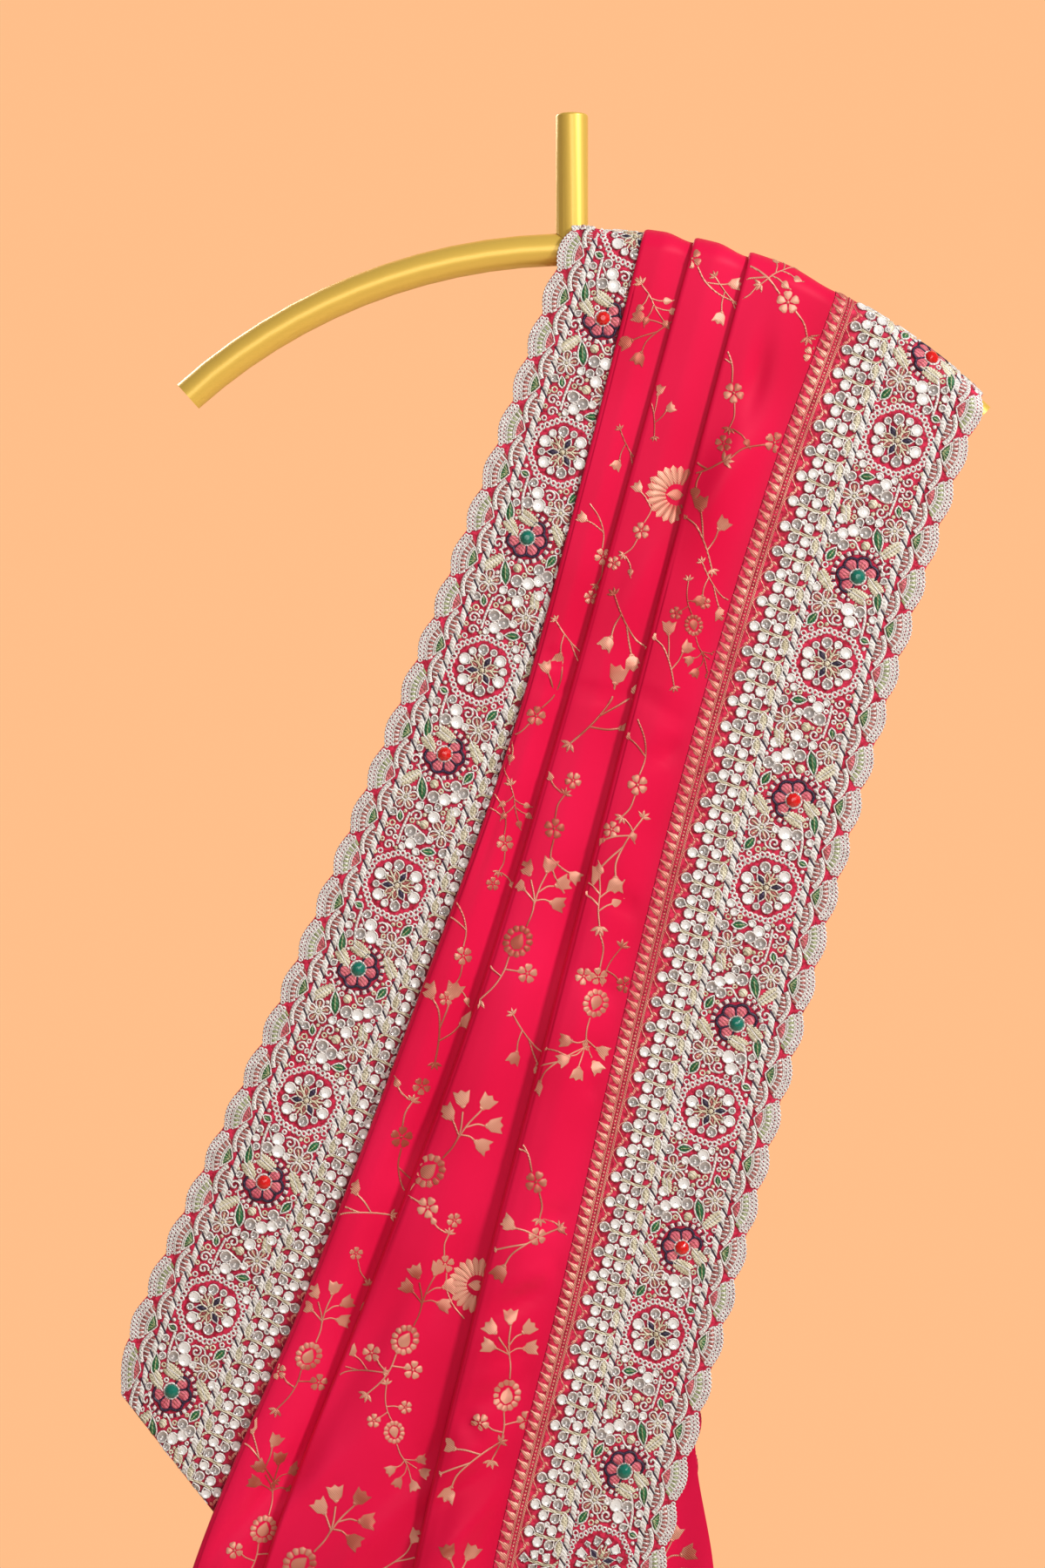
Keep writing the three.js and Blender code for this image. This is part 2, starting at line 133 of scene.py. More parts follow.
# Soft creases in the front fall: X, Z, degrees from level, length, width and depth.
CREASES = (
    (-9, -302, -22, 17, 3, 0.9), (-12, -319, -20, 17, 2.6, 0.7), (16, -320, -8, 36, 3, 1),
    (52, -330, -28, 34, 3.2, 1.1), (12, -537, -14, 12, 4, 1), (-7, -637, -18, 10, 4.5, 1.3),
    (-30, -653, 32, 34, 7, 2.2), (-20, -641, 26, 22, 6, -1.3), (-22, -696, 4, 14, 4, 1),
    (-54, -725, -38, 16, 3.5, 1.4), (-56, -777, 38, 76, 9, -2.8), (-64, -757, 38, 60, 7, 2),
    (100, -146, 78, 46, 7, 1.4), (30, -436, -34, 24, 6, 1.2), (17, -482, -30, 24, 6, 1.3),
    (-162, -768, 42, 100, 8, -1.8), (-30, -212, 72, 60, 9, 0.8), (-70, -640, 62, 60, 9, 1.6),
    (-96, -575, 55, 48, 8, 1.2), (-84, -742, 50, 60, 9, 1.5), (-44, -772, 38, 44, 7, 1.4),
    (-150, -742, 64, 46, 7, 1.2), (-10, -470, 70, 70, 8, 0.9), (-48, -400, 72, 60, 7, 0.7),
    (40, -250, 66, 60, 9, -1.2), (78, -205, 62, 70, 13, -2.6), (120, -560, 12, 40, 6, 0.8),
    (95, -700, -10, 60, 6, 0.9), (-120, -690, 58, 90, 8, 1.3), (-178, -770, 52, 80, 7, 1.5),
    (-118, -790, 46, 80, 8, -1.4), (-34, -684, 16, 26, 7, 1.5), (-12, -608, 24, 24, 7, 1.5),
    (12, -518, -12, 22, 7, 1.2), (-46, -706, 30, 34, 7, 1.5), (54, -352, 14, 26, 6, 1.1),
    (-130, -905, 40, 70, 9, 1.6), (-230, -960, 60, 60, 8, 1.2), (-100, -1060, 20, 60, 8, 1.4),
    (-40, -1010, -14, 50, 8, 1.2), (-190, -1140, 35, 70, 9, 1.5), (-30, -1220, 10, 50, 7, 1.2),
    (-260, -1260, 70, 70, 8, 1.4),
)


def ease(share):
    share = np.clip(share, 0, 1)
    return share * share * (3 - 2 * share)


def mix(a, b, share):
    return a + (b - a) * share


def knot_curve(heights, places, z):
    """X over height through knots, smooth, and carried on straight past its ends."""
    h, p, z = (np.asarray(v, float) for v in (heights, places, z))
    steep = np.diff(p) / np.diff(h)
    slope = np.concatenate([[steep[0]], (steep[:-1] + steep[1:]) / 2, [steep[-1]]])
    i = np.clip(np.searchsorted(-h, -z) - 1, 0, len(h) - 2)
    span = h[i + 1] - h[i]
    t = np.clip((z - h[i]) / span, 0, 1)
    inside = (
        p[i] * (1 + 2 * t) * (1 - t) ** 2
        + span * slope[i] * t * (1 - t) ** 2
        + p[i + 1] * t * t * (3 - 2 * t)
        + span * slope[i + 1] * t * t * (t - 1)
    )
    over = np.where(z < h[-1], slope[-1] * (z - h[-1]), 0)
    return inside + np.where(z > h[0], slope[0] * (z - h[0]), over)


def halved(low, high, too_high):
    """The height, found by halving, from which too_high(height) holds."""
    for _ in range(40):
        middle = (low + high) / 2
        over = too_high(middle)
        high, low = np.where(over, middle, high), np.where(over, low, middle)
    return low


def over_arm(x, z):
    """How far outside the arm's centre line a flat place is, and -1 under the arm's centre."""
    return np.where(z > ARM_CENTRE, np.hypot(x, z - ARM_CENTRE) - ARM_RADIUS, -1.0)


class Fall:
    """One side of the draped cloth: where its lines run, and the way out from the hanger."""

    def __init__(self, side, rows, across, phase, shallow, shift, creases=()):
        self.side, self.creases = side, creases
        self.wave = (across, phase, shallow, shift)
        rows = np.array(rows, float)
        self.heights = np.arange(60.0, -1700.0, -1.0)
        angles = np.radians(CREST_ANGLES)
        crests = ARM_CENTRE + CREST_RADIUS * np.cos(angles), CREST_RADIUS * np.sin(angles)
        self.lines = [
            knot_curve([crests[0][k], *rows[:, 0]], [crests[1][k], *rows[:, k + 1]], self.heights)
            for k in range(6)
        ]
        self.shares = np.linspace(-0.2, 6, 311)
        self.level_with_tube = self.height_above(0.0)
        self.over_crest = self.height_above(WRAP_FLAT)

    def line(self, k, z):
        return np.interp(-np.asarray(z, float), -self.heights, self.lines[k])

    def x_at(self, s, z):
        s, z = np.broadcast_arrays(np.asarray(s, float), np.asarray(z, float))
        k = np.clip(np.floor(s), 0, 4).astype(int)
        return mix(*self.beside(k, self.every_line(z)), s - k)

    def s_at(self, x, z):
        """The line that a place lies on."""
        every = self.every_line(z)
        k = np.clip((every <= x).sum(0) - 1, 0, 4)
        low, high = self.beside(k, every)
        return k + (x - low) / (high - low)

    def every_line(self, z):
        return np.stack([self.line(i, z) for i in range(6)])

    def beside(self, k, every):
        return (np.take_along_axis(every, j[None], 0)[0] for j in (k, k + 1))

    def height_above(self, above):
        """The heights at which the lines lie so far outside the arm."""
        low, high = (np.full(self.shares.shape, end) for end in (-400.0, 40.0))
        return halved(low, high, lambda z: over_arm(self.x_at(self.shares, z), z) > above)

    def height(self, s, row, end=None):
        """Z of a line at a row: -1 on the arm's crest, 0 level with the tube, 1 at the end."""
        zero = np.interp(s, self.shares, self.level_with_tube)
        crest = np.interp(s, self.shares, self.over_crest)
        last = FALL_END if end is None else end
        return np.where(row < 0, mix(zero, crest, -row), mix(zero, last, row))

    def depth(self, x, z):
        """How far soft folds and creases stand out at a place."""
        across, phase, shallow, shift = self.wave
        off = x - self.line(3, z)
        deep = 1 + np.sin(2 * np.pi * off / across + phase)
        small = 1 + np.sin(2 * np.pi * off / shallow + shift)
        out = ease((WAVES_FROM - z) / WAVES_OVER) * (DEEP_WAVE * deep + SMALL_WAVE * small)
        s = self.s_at(x, z)
        on_silk = ease((s - 1) / CREASE_MARGIN) * ease((SEAM - s) / CREASE_MARGIN)
        for cx, cz, angle, length, width, depth in self.creases:
            across, up = math.cos(math.radians(angle)), math.sin(math.radians(angle))
            along = (x - cx) * across + (z - cz) * up
            aside = ((z - cz) * across - (x - cx) * up) / width
            fade = np.exp(-((along / (0.5 * length)) ** 2) - aside**2)
            out = out - on_silk * CREASE_DEPTH * depth * fade * (1 - CREASE_LEAN * aside)
        return out

    def place(self, x, z, level):
        """A flat place of the cloth, laid over the arm and down: points in the row frame."""
        x, z, level = np.broadcast_arrays(*(np.asarray(v, float) for v in (x, z, level)))
        above = over_arm(x, z)
        bent = np.clip(above / WRAP_FLAT, 0, 1) * math.pi / 2
        radius = WRAP_RADIUS + level
        beside_stem = 1 - ease((np.abs(x) - WRAP_RADIUS) / STEM_FLAP)
        laid = ARM_RADIUS + radius * np.sin(bent)
        out = radius * np.maximum(np.cos(bent), beside_stem) + self.depth(x, z)
        scale = np.where(above > 0, laid / np.hypot(x, z - ARM_CENTRE), 1.0)
        return np.stack([x * scale, self.side * out, ARM_CENTRE + (z - ARM_CENTRE) * scale], -1)


FRONT = Fall(-1, FRONT_ROWS, 190, 0.6, 121, 2.2, CREASES)
BACK_CREASES = [(x * 0.8 + 12, z, -angle, *rest) for x, z, angle, *rest in CREASES]
BACK = Fall(1, BACK_ROWS, 170, 2.4, 113, 0.7, BACK_CREASES)

# ---- Meshes


def make(name, points, faces, looks, thread=None, uv=None, flat=None):
    """An object from millimetre points and faces that all have as many corners."""
    mesh = bpy.data.meshes.new(name)
    count, corners = faces.shape
    mesh.vertices.add(len(points))
    mesh.vertices.foreach_set("co", (np.asarray(points, float) * 0.001).ravel())
    mesh.loops.add(count * corners)
    mesh.loops.foreach_set("vertex_index", faces.ravel().astype(np.int32))
    mesh.polygons.add(count)
    mesh.polygons.foreach_set("loop_start", np.arange(0, count * corners, corners, dtype=np.int32))
    smooth = np.ones(count, bool) if flat is None else ~flat
    mesh.polygons.foreach_set("use_smooth", smooth)
    for look in looks:
        mesh.materials.append(look)
    if thread is not None:
        mesh.polygons.foreach_set("material_index", thread.astype(np.int32))
    if uv is not None:
        layer = mesh.uv_layers.new(name="cloth")
        layer.data.foreach_set("uv", (uv * 0.001)[faces.ravel()].astype(np.float32).ravel())
    mesh.update(calc_edges=True)
    obj = bpy.data.objects.new(name, mesh)
    bpy.context.collection.objects.link(obj)
    return obj


def grid_faces(rows, columns):
    at = np.arange(rows * columns).reshape(rows, columns)
    quads = np.stack([at[:-1, :-1], at[1:, :-1], at[1:, 1:], at[:-1, 1:]], -1)
    return quads.reshape(-1, 4)


def cloth(name, grid, look, nodes, with_pieces):
    """A sheet of cloth from a grid of points, with its flat size measured along the grid."""
    rows, columns, _ = grid.shape
    across = np.linalg.norm(np.diff(grid, axis=1), axis=2)
    down = np.linalg.norm(np.diff(grid, axis=0), axis=2)
    u = np.concatenate([np.zeros((rows, 1)), np.cumsum(across, 1)], 1)
    v = np.concatenate([np.zeros((1, columns)), np.cumsum(down, 0)], 0)
    uv = np.stack([u, v], -1).reshape(-1, 2)
    obj = make(name, grid.reshape(-1, 3), grid_faces(rows, columns), [look], uv=uv)
    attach(obj, "root")
    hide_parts(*nodes)
    list(with_pieces)
    return obj


# ---- Materials

WEAVE = 1500 * math.pi / 10  # for 1500 threads to the metre


def put(m, value, socket):
    """Sets a socket to a constant, or links it."""
    if isinstance(value, bpy.types.NodeSocket):
        m.node_tree.links.new(value, socket)
    else:
        socket.default_value = value


def fill(m, n, values):
    """Gives a node its options and its sockets' values, with _ for a space in a name."""
    for key, value in values.items():
        if hasattr(n, key):
            setattr(n, key, value)
        else:
            put(m, value, n.inputs[key.replace("_", " ")])
    return n


def node(m, kind, **values):
    return fill(m, m.node_tree.nodes.new("ShaderNode" + kind), values)


def shade(m, **values):
    return fill(m, m.node_tree.nodes["Principled BSDF"], values)


def material(name, colour, roughness=0.5, metallic=0.0, **values):
    m = bpy.data.materials.new(name)
    m.use_nodes = True
    shade(m, Base_Color=(*colour, 1), Roughness=roughness, Metallic=metallic, **values)
    return m


def coordinates(m, kind="Object"):
    return node(m, "TexCoord").outputs[kind]


def maths(m, operation, *values):
    n = node(m, "Math", operation=operation)
    for value, socket in zip(values, n.inputs):
        put(m, value, socket)
    return n.outputs[0]


def ramp(m, share, positions, colours=((0, 0, 0), (1, 1, 1))):
    n = node(m, "ValToRGB", Fac=share)
    for element, position, colour in zip(n.color_ramp.elements, positions, colours):
        element.position, element.color = position, (*colour, 1)
    return n.outputs["Color"]


def bump(m, height, strength, distance):
    n = node(m, "Bump", Strength=strength, Distance=distance, Height=height)
    shade(m, Normal=n.outputs["Normal"])


def tinted(m, dark, light, scale, detail, spread):
    """Paints the colour between two tones with soft noise."""
    noise = node(m, "TexNoise", Scale=scale, Detail=detail, Vector=coordinates(m))
    colour = ramp(m, noise.outputs["Fac"], spread, (dark, light))
    shade(m, Base_Color=colour)
    return colour


def darkened(m, colour, dark, share):
    """Paints the colour, and the dark one where the share is low, as painted shade."""
    n = node(m, "Mix", data_type="RGBA", blend_type="MIX", Factor=share, A=(*dark, 1), B=colour)
    shade(m, Base_Color=n.outputs["Result"])


def ribbed(m, colour, scale, strength, groove, share):
    """Ridges of thread across a colour, darker in the grooves between them as painted shade."""
    lines = dict(bands_direction="DIAGONAL", Scale=scale, Distortion=1.2)
    wave = node(m, "TexWave", **lines, Vector=coordinates(m)).outputs["Fac"]
    darkened(m, colour, groove, ramp(m, wave, (0.0, share)))
    bump(m, wave, strength, 0.0003)


def silk():
    """Satin, with a plain weave's bump over the cloth's own flat coordinates."""
    m = material(
        "red_silk",
        (0.77, 0.007, 0.064),
        0.46,
        Sheen_Weight=0.08,
        Sheen_Roughness=0.4,
        Sheen_Tint=(1.0, 0.25, 0.35, 1),
        Anisotropic=0.4,
        Specular_IOR_Level=0.22,
        Specular_Tint=(1.0, 0.35, 0.45, 1),
    )
    tinted(m, (0.70, 0.005, 0.050), (0.85, 0.011, 0.080), 9.0, 2.0, (0.3, 0.7))
    flat = coordinates(m, "UV")
    waves = [
        node(m, "TexWave", bands_direction=way, Scale=WEAVE, Distortion=0.6, Vector=flat)
        for way in ("X", "Y")
    ]
    bump(m, maths(m, "MULTIPLY", *(wave.outputs["Fac"] for wave in waves)), 0.10, 0.0001)
    return m


def border_ground():
    """Silk roughened all over by small stitches, with painted shade: darker in the gaps between the
    thick ones.
    """
    m = material("border_ground", (0.6, 0.01, 0.06), 0.6, Specular_IOR_Level=0.25)
    colour = tinted(m, (0.40, 0.005, 0.030), (0.84, 0.030, 0.10), 420.0, 3.0, (0.36, 0.62))
    # Painted shade: ambient occlusion darkens the colour where the stitches close round a place.
    painted_shade = node(m, "AmbientOcclusion", Distance=0.0035, samples=4)
    darkened(m, colour, (0.045, 0.004, 0.012), maths(m, "POWER", painted_shade.outputs["AO"], 1.6))
    noise = node(m, "TexNoise", Scale=900.0, Detail=2.0, Vector=coordinates(m))
    bump(m, noise.outputs["Fac"], 0.7, 0.0006)
    return m


def gold_paint():
    looks = dict(Coat_Weight=0.3, Coat_Roughness=0.2)
    m = material("gold_paint", (0.90, 0.59, 0.10), 0.42, 0.4, **looks)
    bump(m, node(m, "TexNoise", Scale=900.0, Detail=2.0).outputs["Fac"], 0.03, 0.0002)
    return m


def zari(name, light, dark, groove, scale):
    """Flat gold thread, copper where it turns from the light."""
    m = material(name, light, 0.42, 0.35)
    # The groove colour is painted shade in the grooves between the ribs.
    ribbed(m, tinted(m, dark, light, 30.0, 2.0, (0.38, 0.56)), scale, 0.4, groove, 0.34)
    return m


def twisted(name, light, dark, roughness=0.5, metallic=0.0):
    """Twisted embroidery thread."""
    m = material(f"{name}_thread", light, roughness, metallic)
    # Painted shade for the grooves between the twists: the dark tone, darker still.
    groove = [0.55 * v for v in dark]
    ribbed(m, tinted(m, dark, light, 260.0, 2.0, (0.3, 0.62)), 260.0, 0.5, groove, 0.32)
    return m


def shiny(name, colour, roughness, metallic, coat, coat_roughness):
    return material(
        name, colour, roughness, metallic, Coat_Weight=coat, Coat_Roughness=coat_roughness
    )


SILK_CLOTH = silk()
BORDER_GROUND = border_ground()
GOLD_PAINT = gold_paint()
LOOKS = {
    "silver": ((0.98, 0.95, 0.93), (0.80, 0.74, 0.71), 0.34, 0.05),
    "cream": ((0.93, 0.87, 0.68), (0.62, 0.54, 0.36)),
    "white": ((0.96, 0.94, 0.90), (0.80, 0.76, 0.73)),
    "green": ((0.02, 0.19, 0.055), (0.008, 0.09, 0.025), 0.45),
    "pink": ((0.90, 0.22, 0.28), (0.70, 0.10, 0.16)),
    "navy": ((0.035, 0.012, 0.06), (0.012, 0.006, 0.025)),
    "rose": ((0.62, 0.20, 0.17), (0.36, 0.07, 0.07)),
    "pale_green": ((0.55, 0.60, 0.33), (0.30, 0.34, 0.14)),
}
THREADS = {name: twisted(name, *looks) for name, looks in LOOKS.items()}
THREADS |= {
    "zari": zari("gold_zari", (0.84, 0.44, 0.30), (0.44, 0.11, 0.06), (0.46, 0.03, 0.04), 520.0),
    "border_zari": zari(
        "rose_gold_zari", (0.88, 0.47, 0.35), (0.72, 0.27, 0.21), (0.66, 0.09, 0.09), 420.0
    ),
    "sequin": shiny("sequins", (0.90, 0.89, 0.88), 0.2, 0.1, 0.6, 0.08),
    # The white sequins again, painted darker: painted shade for the dim surroundings that they
    # reflect.
    "sequin_in_painted_shade": shiny("sequins_in_painted_shade", (0.46, 0.42, 0.41), 0.18, 0.3, 0.6, 0.08),
    "red_gem": shiny("red_stone", (0.72, 0.004, 0.004), 0.16, 0.0, 0.3, 0.1),
    "teal_gem": shiny("teal_stone", (0.0, 0.17, 0.12), 0.16, 0.0, 0.3, 0.1),
}
THREAD_NAMES = list(THREADS)

# ---- The hanger keeps its solids and gets its paint


def smoothed(mesh, limit=0.8):
    """Shades a mesh of loose triangles smoothly, save where its faces meet sharply."""
    around, corners, normals = {}, [], []
    for face in mesh.polygons:
        normal = np.array(face.normal)
        for i in face.vertices:
            key = tuple(np.round(np.array(mesh.vertices[i].co) * 1e5).astype(int))
            around.setdefault(key, []).append((normal * face.area, normal))
            corners.append((key, normal))
        face.use_smooth = True
    for key, normal in corners:
        total = sum(weighted for weighted, other in around[key] if normal @ other > limit)
        length = np.linalg.norm(total)
        normals.append(total / length if length > 0 else normal)
    mesh.normals_split_custom_set(normals)


for name in ("hanger_arm", "hanger_stem"):
    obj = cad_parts[name]
    obj.data.materials.clear()
    obj.data.materials.append(GOLD_PAINT)
    smoothed(obj.data)

# ---- The cloth

PLEAT_STEP = 5.0  # between rows of a pleat's mesh
BORDER_STEP = SCALLOP_PITCH / 8
BORDER_COLUMNS = 10
ON_ARM_ROWS = 12
PANEL_COLUMNS, BEND_COLUMNS, RETURN_COLUMNS = 33, 9, 3
INNER_SIZE = 200, 60  # rows and columns
FALL_LENGTH, TURNED_FALL_LENGTH = 1330.0, 700.0  # about, for the number of rows


def fall_rows(step, length=FALL_LENGTH):
    """Rows from the lower end up to the crest: 1 to 0 for the fall and 0 to -1 on the arm."""
    down = np.linspace(1, 0, int(length / step) + 1)
    return np.concatenate([down, -np.linspace(0, 1, ON_ARM_ROWS + 1)[1:]])


def both_falls(shape, step):
    """A strip from the front's lower end over the arm to the back's, from shape(fall, rows)."""
    rows = fall_rows(step)
    return np.concatenate([shape(FRONT, rows), shape(BACK, rows)[-2::-1]])


def puff(row):
    return PUFF * ease(np.maximum(row, 0) / PUFF_FROM)


def panel_level(share, row):
    """The top of a pleat's panel, by its share of the way to the next line."""
    raised = 1 - ease((share - SINKS_FROM) / SINKS_OVER)
    puffed = 1 - ease((share - PUFF_SINKS_FROM) / PUFF_SINKS_OVER)
    puffed *= mix(PUFF_AT_FOLD, 1.0, ease(share / PUFF_RISES_OVER))
    return SILK + PANEL_UNDER * raised + puff(row) * puffed


def pleat_strip(line):
    """A pleat's panel with what it tucks under the next, its rounded fold and the return."""
    end = 1 + TUCK if line < SEAM - 1 else 1.0
    shares = np.linspace(end, 0.0, PANEL_COLUMNS + 1)[:-1]
    bends = np.linspace(0, math.pi, BEND_COLUMNS)
    returns = np.linspace(0, TUCK, RETURN_COLUMNS + 1)[1:]

    def shape(fall, rows):
        row = rows[:, None]
        z = fall.height(line, row)
        width = fall.x_at(line + 1, z) - fall.x_at(line, z)
        flat_share = np.maximum(shares[None], FOLD_WIDTH / width * 1.02)
        top = panel_level(shares[None], row)
        high = (PANEL_TOP + puff(row) * PUFF_AT_FOLD - RETURN_UNDER) / 2
        bend_share = FOLD_WIDTH * (1 - np.sin(bends))[None] / width
        bend_level = RETURN_UNDER + high * (1 + np.cos(bends))[None]
        back_share = np.maximum(returns[None], FOLD_WIDTH / width) + 0 * row
        back_level = RETURN_UNDER + 0 * back_share
        share = np.concatenate([flat_share, bend_share, back_share], 1)
        level = np.concatenate([top, bend_level, back_level], 1)
        s = line + share
        z = fall.height(s, row)
        return fall.place(fall.x_at(s, z), z, level)

    return both_falls(shape, PLEAT_STEP)


class Edge:
    """A border's own coordinates: a inwards from its scalloped edge and q down along it."""

    def __init__(self, fall, line):
        inwards = 1 if line == LEFT else -1
        z = np.arange(30.0, -1640.0, -1.0)
        x = fall.line(line, z)
        zero = float(np.interp(line, fall.shares, fall.level_with_tube))
        length = np.concatenate([[0], np.cumsum(np.hypot(np.diff(x), 1.0))])
        self.q = length - np.interp(-zero, -z, length)
        tangent = np.stack([np.gradient(x), np.gradient(z)], -1)
        tangent /= np.linalg.norm(tangent, axis=1)[:, None]
        self.points = np.stack([x, z], -1)
        self.inwards = np.stack([-tangent[:, 1], tangent[:, 0]], -1) * inwards
        self.width = np.full(len(z), CHART_WIDTH)
        if line == RIGHT:
            for _ in range(8):
                at = self.points + self.inwards * self.width[:, None]
                self.width += (at[:, 0] - fall.line(SEAM, at[:, 1])) / np.abs(self.inwards[:, 0])

    def flat(self, a, q):
        """Flat X and Z of a place on the border."""
        foot, way = (
            np.stack([np.interp(q, self.q, v[:, i]) for i in (0, 1)], -1)
            for v in (self.points, self.inwards)
        )
        scaled = a * np.interp(q, self.q, self.width) / CHART_WIDTH
        return (foot + way * scaled[..., None]).T

    def along(self, z):
        return np.interp(-z, -self.points[:, 1], self.q)


EDGES = {(fall.side, line): Edge(fall, line) for fall in (FRONT, BACK) for line in (LEFT, RIGHT)}


def scallop(q):
    return SCALLOP_DEPTH * (1 - np.abs(np.cos(np.pi * q / SCALLOP_PITCH)))


def turn_height(s):
    """Where a line of the front fall meets the diagonal fold."""

    def above_fold(z):
        return z > TURN_OUTER[1] + TURN[1] / TURN[0] * (FRONT.x_at(s, z) - TURN_OUTER[0])

    return halved(np.full(s.shape, -1000.0), np.full(s.shape, -600.0), above_fold)


def turned(x, z):
    """A flat place past the diagonal, mirrored in it."""
    dx, dz = x - TURN_OUTER[0], z - TURN_OUTER[1]
    along = 2 * (dx * TURN_WAY[0] + dz * TURN_WAY[1])
    return TURN_OUTER[0] + along * TURN_WAY[0] - dx, TURN_OUTER[1] + along * TURN_WAY[1] - dz


def past_turn(x, z):
    """How far a flat place lies past the diagonal."""
    return (x - TURN_OUTER[0]) * TURN_WAY[1] - (z - TURN_OUTER[1]) * TURN_WAY[0]


def turned_level(past, level):
    """The level of cloth past the diagonal, behind the rest."""
    return mix(level, -TURNED_GAP - level, ease(past / TURN_BEND))


def rounded(x, z):
    """Flat places of the left border, pulled in where its outer corner meets the diagonal."""
    near = 1 - ease(np.abs(past_turn(x, z)) / CORNER_LENGTH)
    pull = CORNER_PULL * near * (1 - np.clip(FRONT.s_at(x, z), 0, 1)) ** 2
    return x + pull * TURN_WAY[0], z + pull * TURN_WAY[1]


def inset(fall, line, z, columns):
    """How far the scallops draw a border's columns in from its outer line."""
    depth = scallop(EDGES[fall.side, line].along(z[:, :1]))
    return depth * (1 - np.linspace(0, 1, columns)[None]) ** 3


def border_shape(line, shares):
    inwards = 1 if line == LEFT else -1

    def shape(fall, rows, end=None):
        z = fall.height(shares[None], rows[:, None], end)
        x = fall.x_at(shares[None], z) + inwards * 1.04 * inset(fall, line, z, len(shares))
        if end is not None:
            x, z = rounded(x, z)
        return fall.place(x, z, BORDER)

    return shape


def left_border():
    """Over the arm and down both falls, its front end turned behind along the diagonal."""
    shares = (1 + TUCK) * np.linspace(0, 1, BORDER_COLUMNS)
    shape = border_shape(LEFT, shares)
    ends = turn_height(shares)[None]
    front = shape(FRONT, fall_rows(BORDER_STEP, TURNED_FALL_LENGTH), ends)
    back = shape(BACK, fall_rows(BORDER_STEP))[-2::-1]
    round_the_bend = (0.002, 0.006, 0.012, 0.02)
    past = np.append(round_the_bend, np.linspace(0.05, 1, 24))[::-1, None] * TURNED_LENGTH
    x_end, z = FRONT.x_at(shares, ends), ends - past
    x = x_end + (x_end - FRONT.x_at(shares, ends + 1)) * past
    slide = inset(FRONT, LEFT, z, len(shares)) + CORNER_SLACK * (1 - np.clip(shares, 0, 1))
    x, z = turned(*rounded(x + slide * TURN_WAY[0], z + slide * TURN_WAY[1]))
    return np.concatenate([FRONT.place(x, z, turned_level(past, BORDER)), front, back])


def right_border():
    shares = RIGHT + (SEAM + 0.002 - RIGHT) * np.linspace(0, 1, BORDER_COLUMNS)
    return both_falls(border_shape(RIGHT, shares), BORDER_STEP)


INNER_HEIGHTS, *INNER_SIDES = (np.array(column, float) for column in zip(*INNER_ROWS))


def inner_edges(z):
    return [knot_curve(INNER_HEIGHTS, side, z) for side in INNER_SIDES]


def inner_place(x, z, up=0.0):
    """A place of the inner half, a little behind the outer one's plane."""
    v = np.clip((INNER_HEIGHTS[0] - z) / (INNER_HEIGHTS[0] - INNER_HEIGHTS[-1]), 0, 1)
    fold = ease(v * 3) * INNER_FOLD * (1 - np.cos(2 * np.pi * x / INNER_FOLD_PITCH))
    points = FRONT.place(x, z, 0.0)
    points[..., 1] -= -LAYER_GAP - ease(v) * INNER_CLEARANCE - fold + up
    return points


def inner_silk():
    v, u = (np.linspace(0, 1, count) for count in INNER_SIZE)
    v, u = v[:, None], u[None]
    z = mix(INNER_HEIGHTS[0], INNER_HEIGHTS[-1], v) + 0 * u
    return inner_place(mix(*inner_edges(z), u), z)


# ---- Stitches: raised thread work, worked flat and then laid on the cloth

FINE_CORD = np.array((-1.0, -0.55, 0.55, 1.0)), np.array((0.0, 0.95, 0.95, 0.0))
COARSE_CORD = np.array((-1.0, 0.0, 1.0)), np.array((0.0, 1.0, 0.0))
BAR_BASE = np.array((-0.5 - 0.5j, 0.5 - 0.5j, 0.5 + 0.5j, -0.5 + 0.5j, -0.34, 0.34))
BAR_HEIGHTS = np.array((0.1, 0.1, 0.1, 0.1, 1, 1))
BAR_CORNERS = ((0, 1, 5), (0, 5, 4), (2, 3, 4), (2, 4, 5), (1, 2, 5), (3, 0, 4))


def turn(degrees):
    return np.exp(1j * np.radians(degrees))


def grid_triangles(rows, columns, closed=False):
    at = np.arange(rows * columns).reshape(rows, columns)
    if closed:
        at = np.concatenate([at, at[:1]])
    a, b, c, d = at[:-1, :-1], at[1:, :-1], at[1:, 1:], at[:-1, 1:]
    return np.stack([a, b, c, a, c, d], -1).reshape(-1, 3)


def ring_faces(n):
    """Triangles from a ring of n corners to the next ring in, and on to the centre."""
    i, j = np.arange(n), np.roll(np.arange(n), -1)
    rows = ((i, j, n + j), (i, n + j, n + i), (n + i, n + j, np.full(n, 2 * n)))
    return np.concatenate([np.stack(row, -1) for row in rows])


def polygon(sides, start=0.0):
    return turn(np.arange(sides) * 360 / sides + start)


def mirrored(half, *tip):
    """An outline from its one side and its tip."""
    return np.concatenate([half, tip, np.conj(half[::-1])])


def curve(*points, steps=4):
    """A smooth path through complex points."""
    p = np.array(points, complex)
    p = np.concatenate([[2 * p[0] - p[1]], p, [2 * p[-1] - p[-2]]])
    t = np.linspace(0, 1, steps, endpoint=False)[:, None]
    a, b, c, d = p[:-3], p[1:-2], p[2:-1], p[3:]
    bend, twist = a - 2.5 * b + 2 * c - d / 2, 1.5 * (b - c) + (d - a) / 2
    blend = b + t * (c - a) / 2 + t**2 * bend + t**3 * twist
    return np.concatenate([blend.T.ravel(), p[-2:-1]])


def leaf_outline(length, width, steps=5, tip=0.85):
    t = np.linspace(0, 1, steps + 1)
    half = width / 2 * np.sin(np.pi * t**tip)
    along = length * (t - 0.5)
    return np.concatenate([along - 1j * half, (along + 1j * half)[-2:0:-1]])


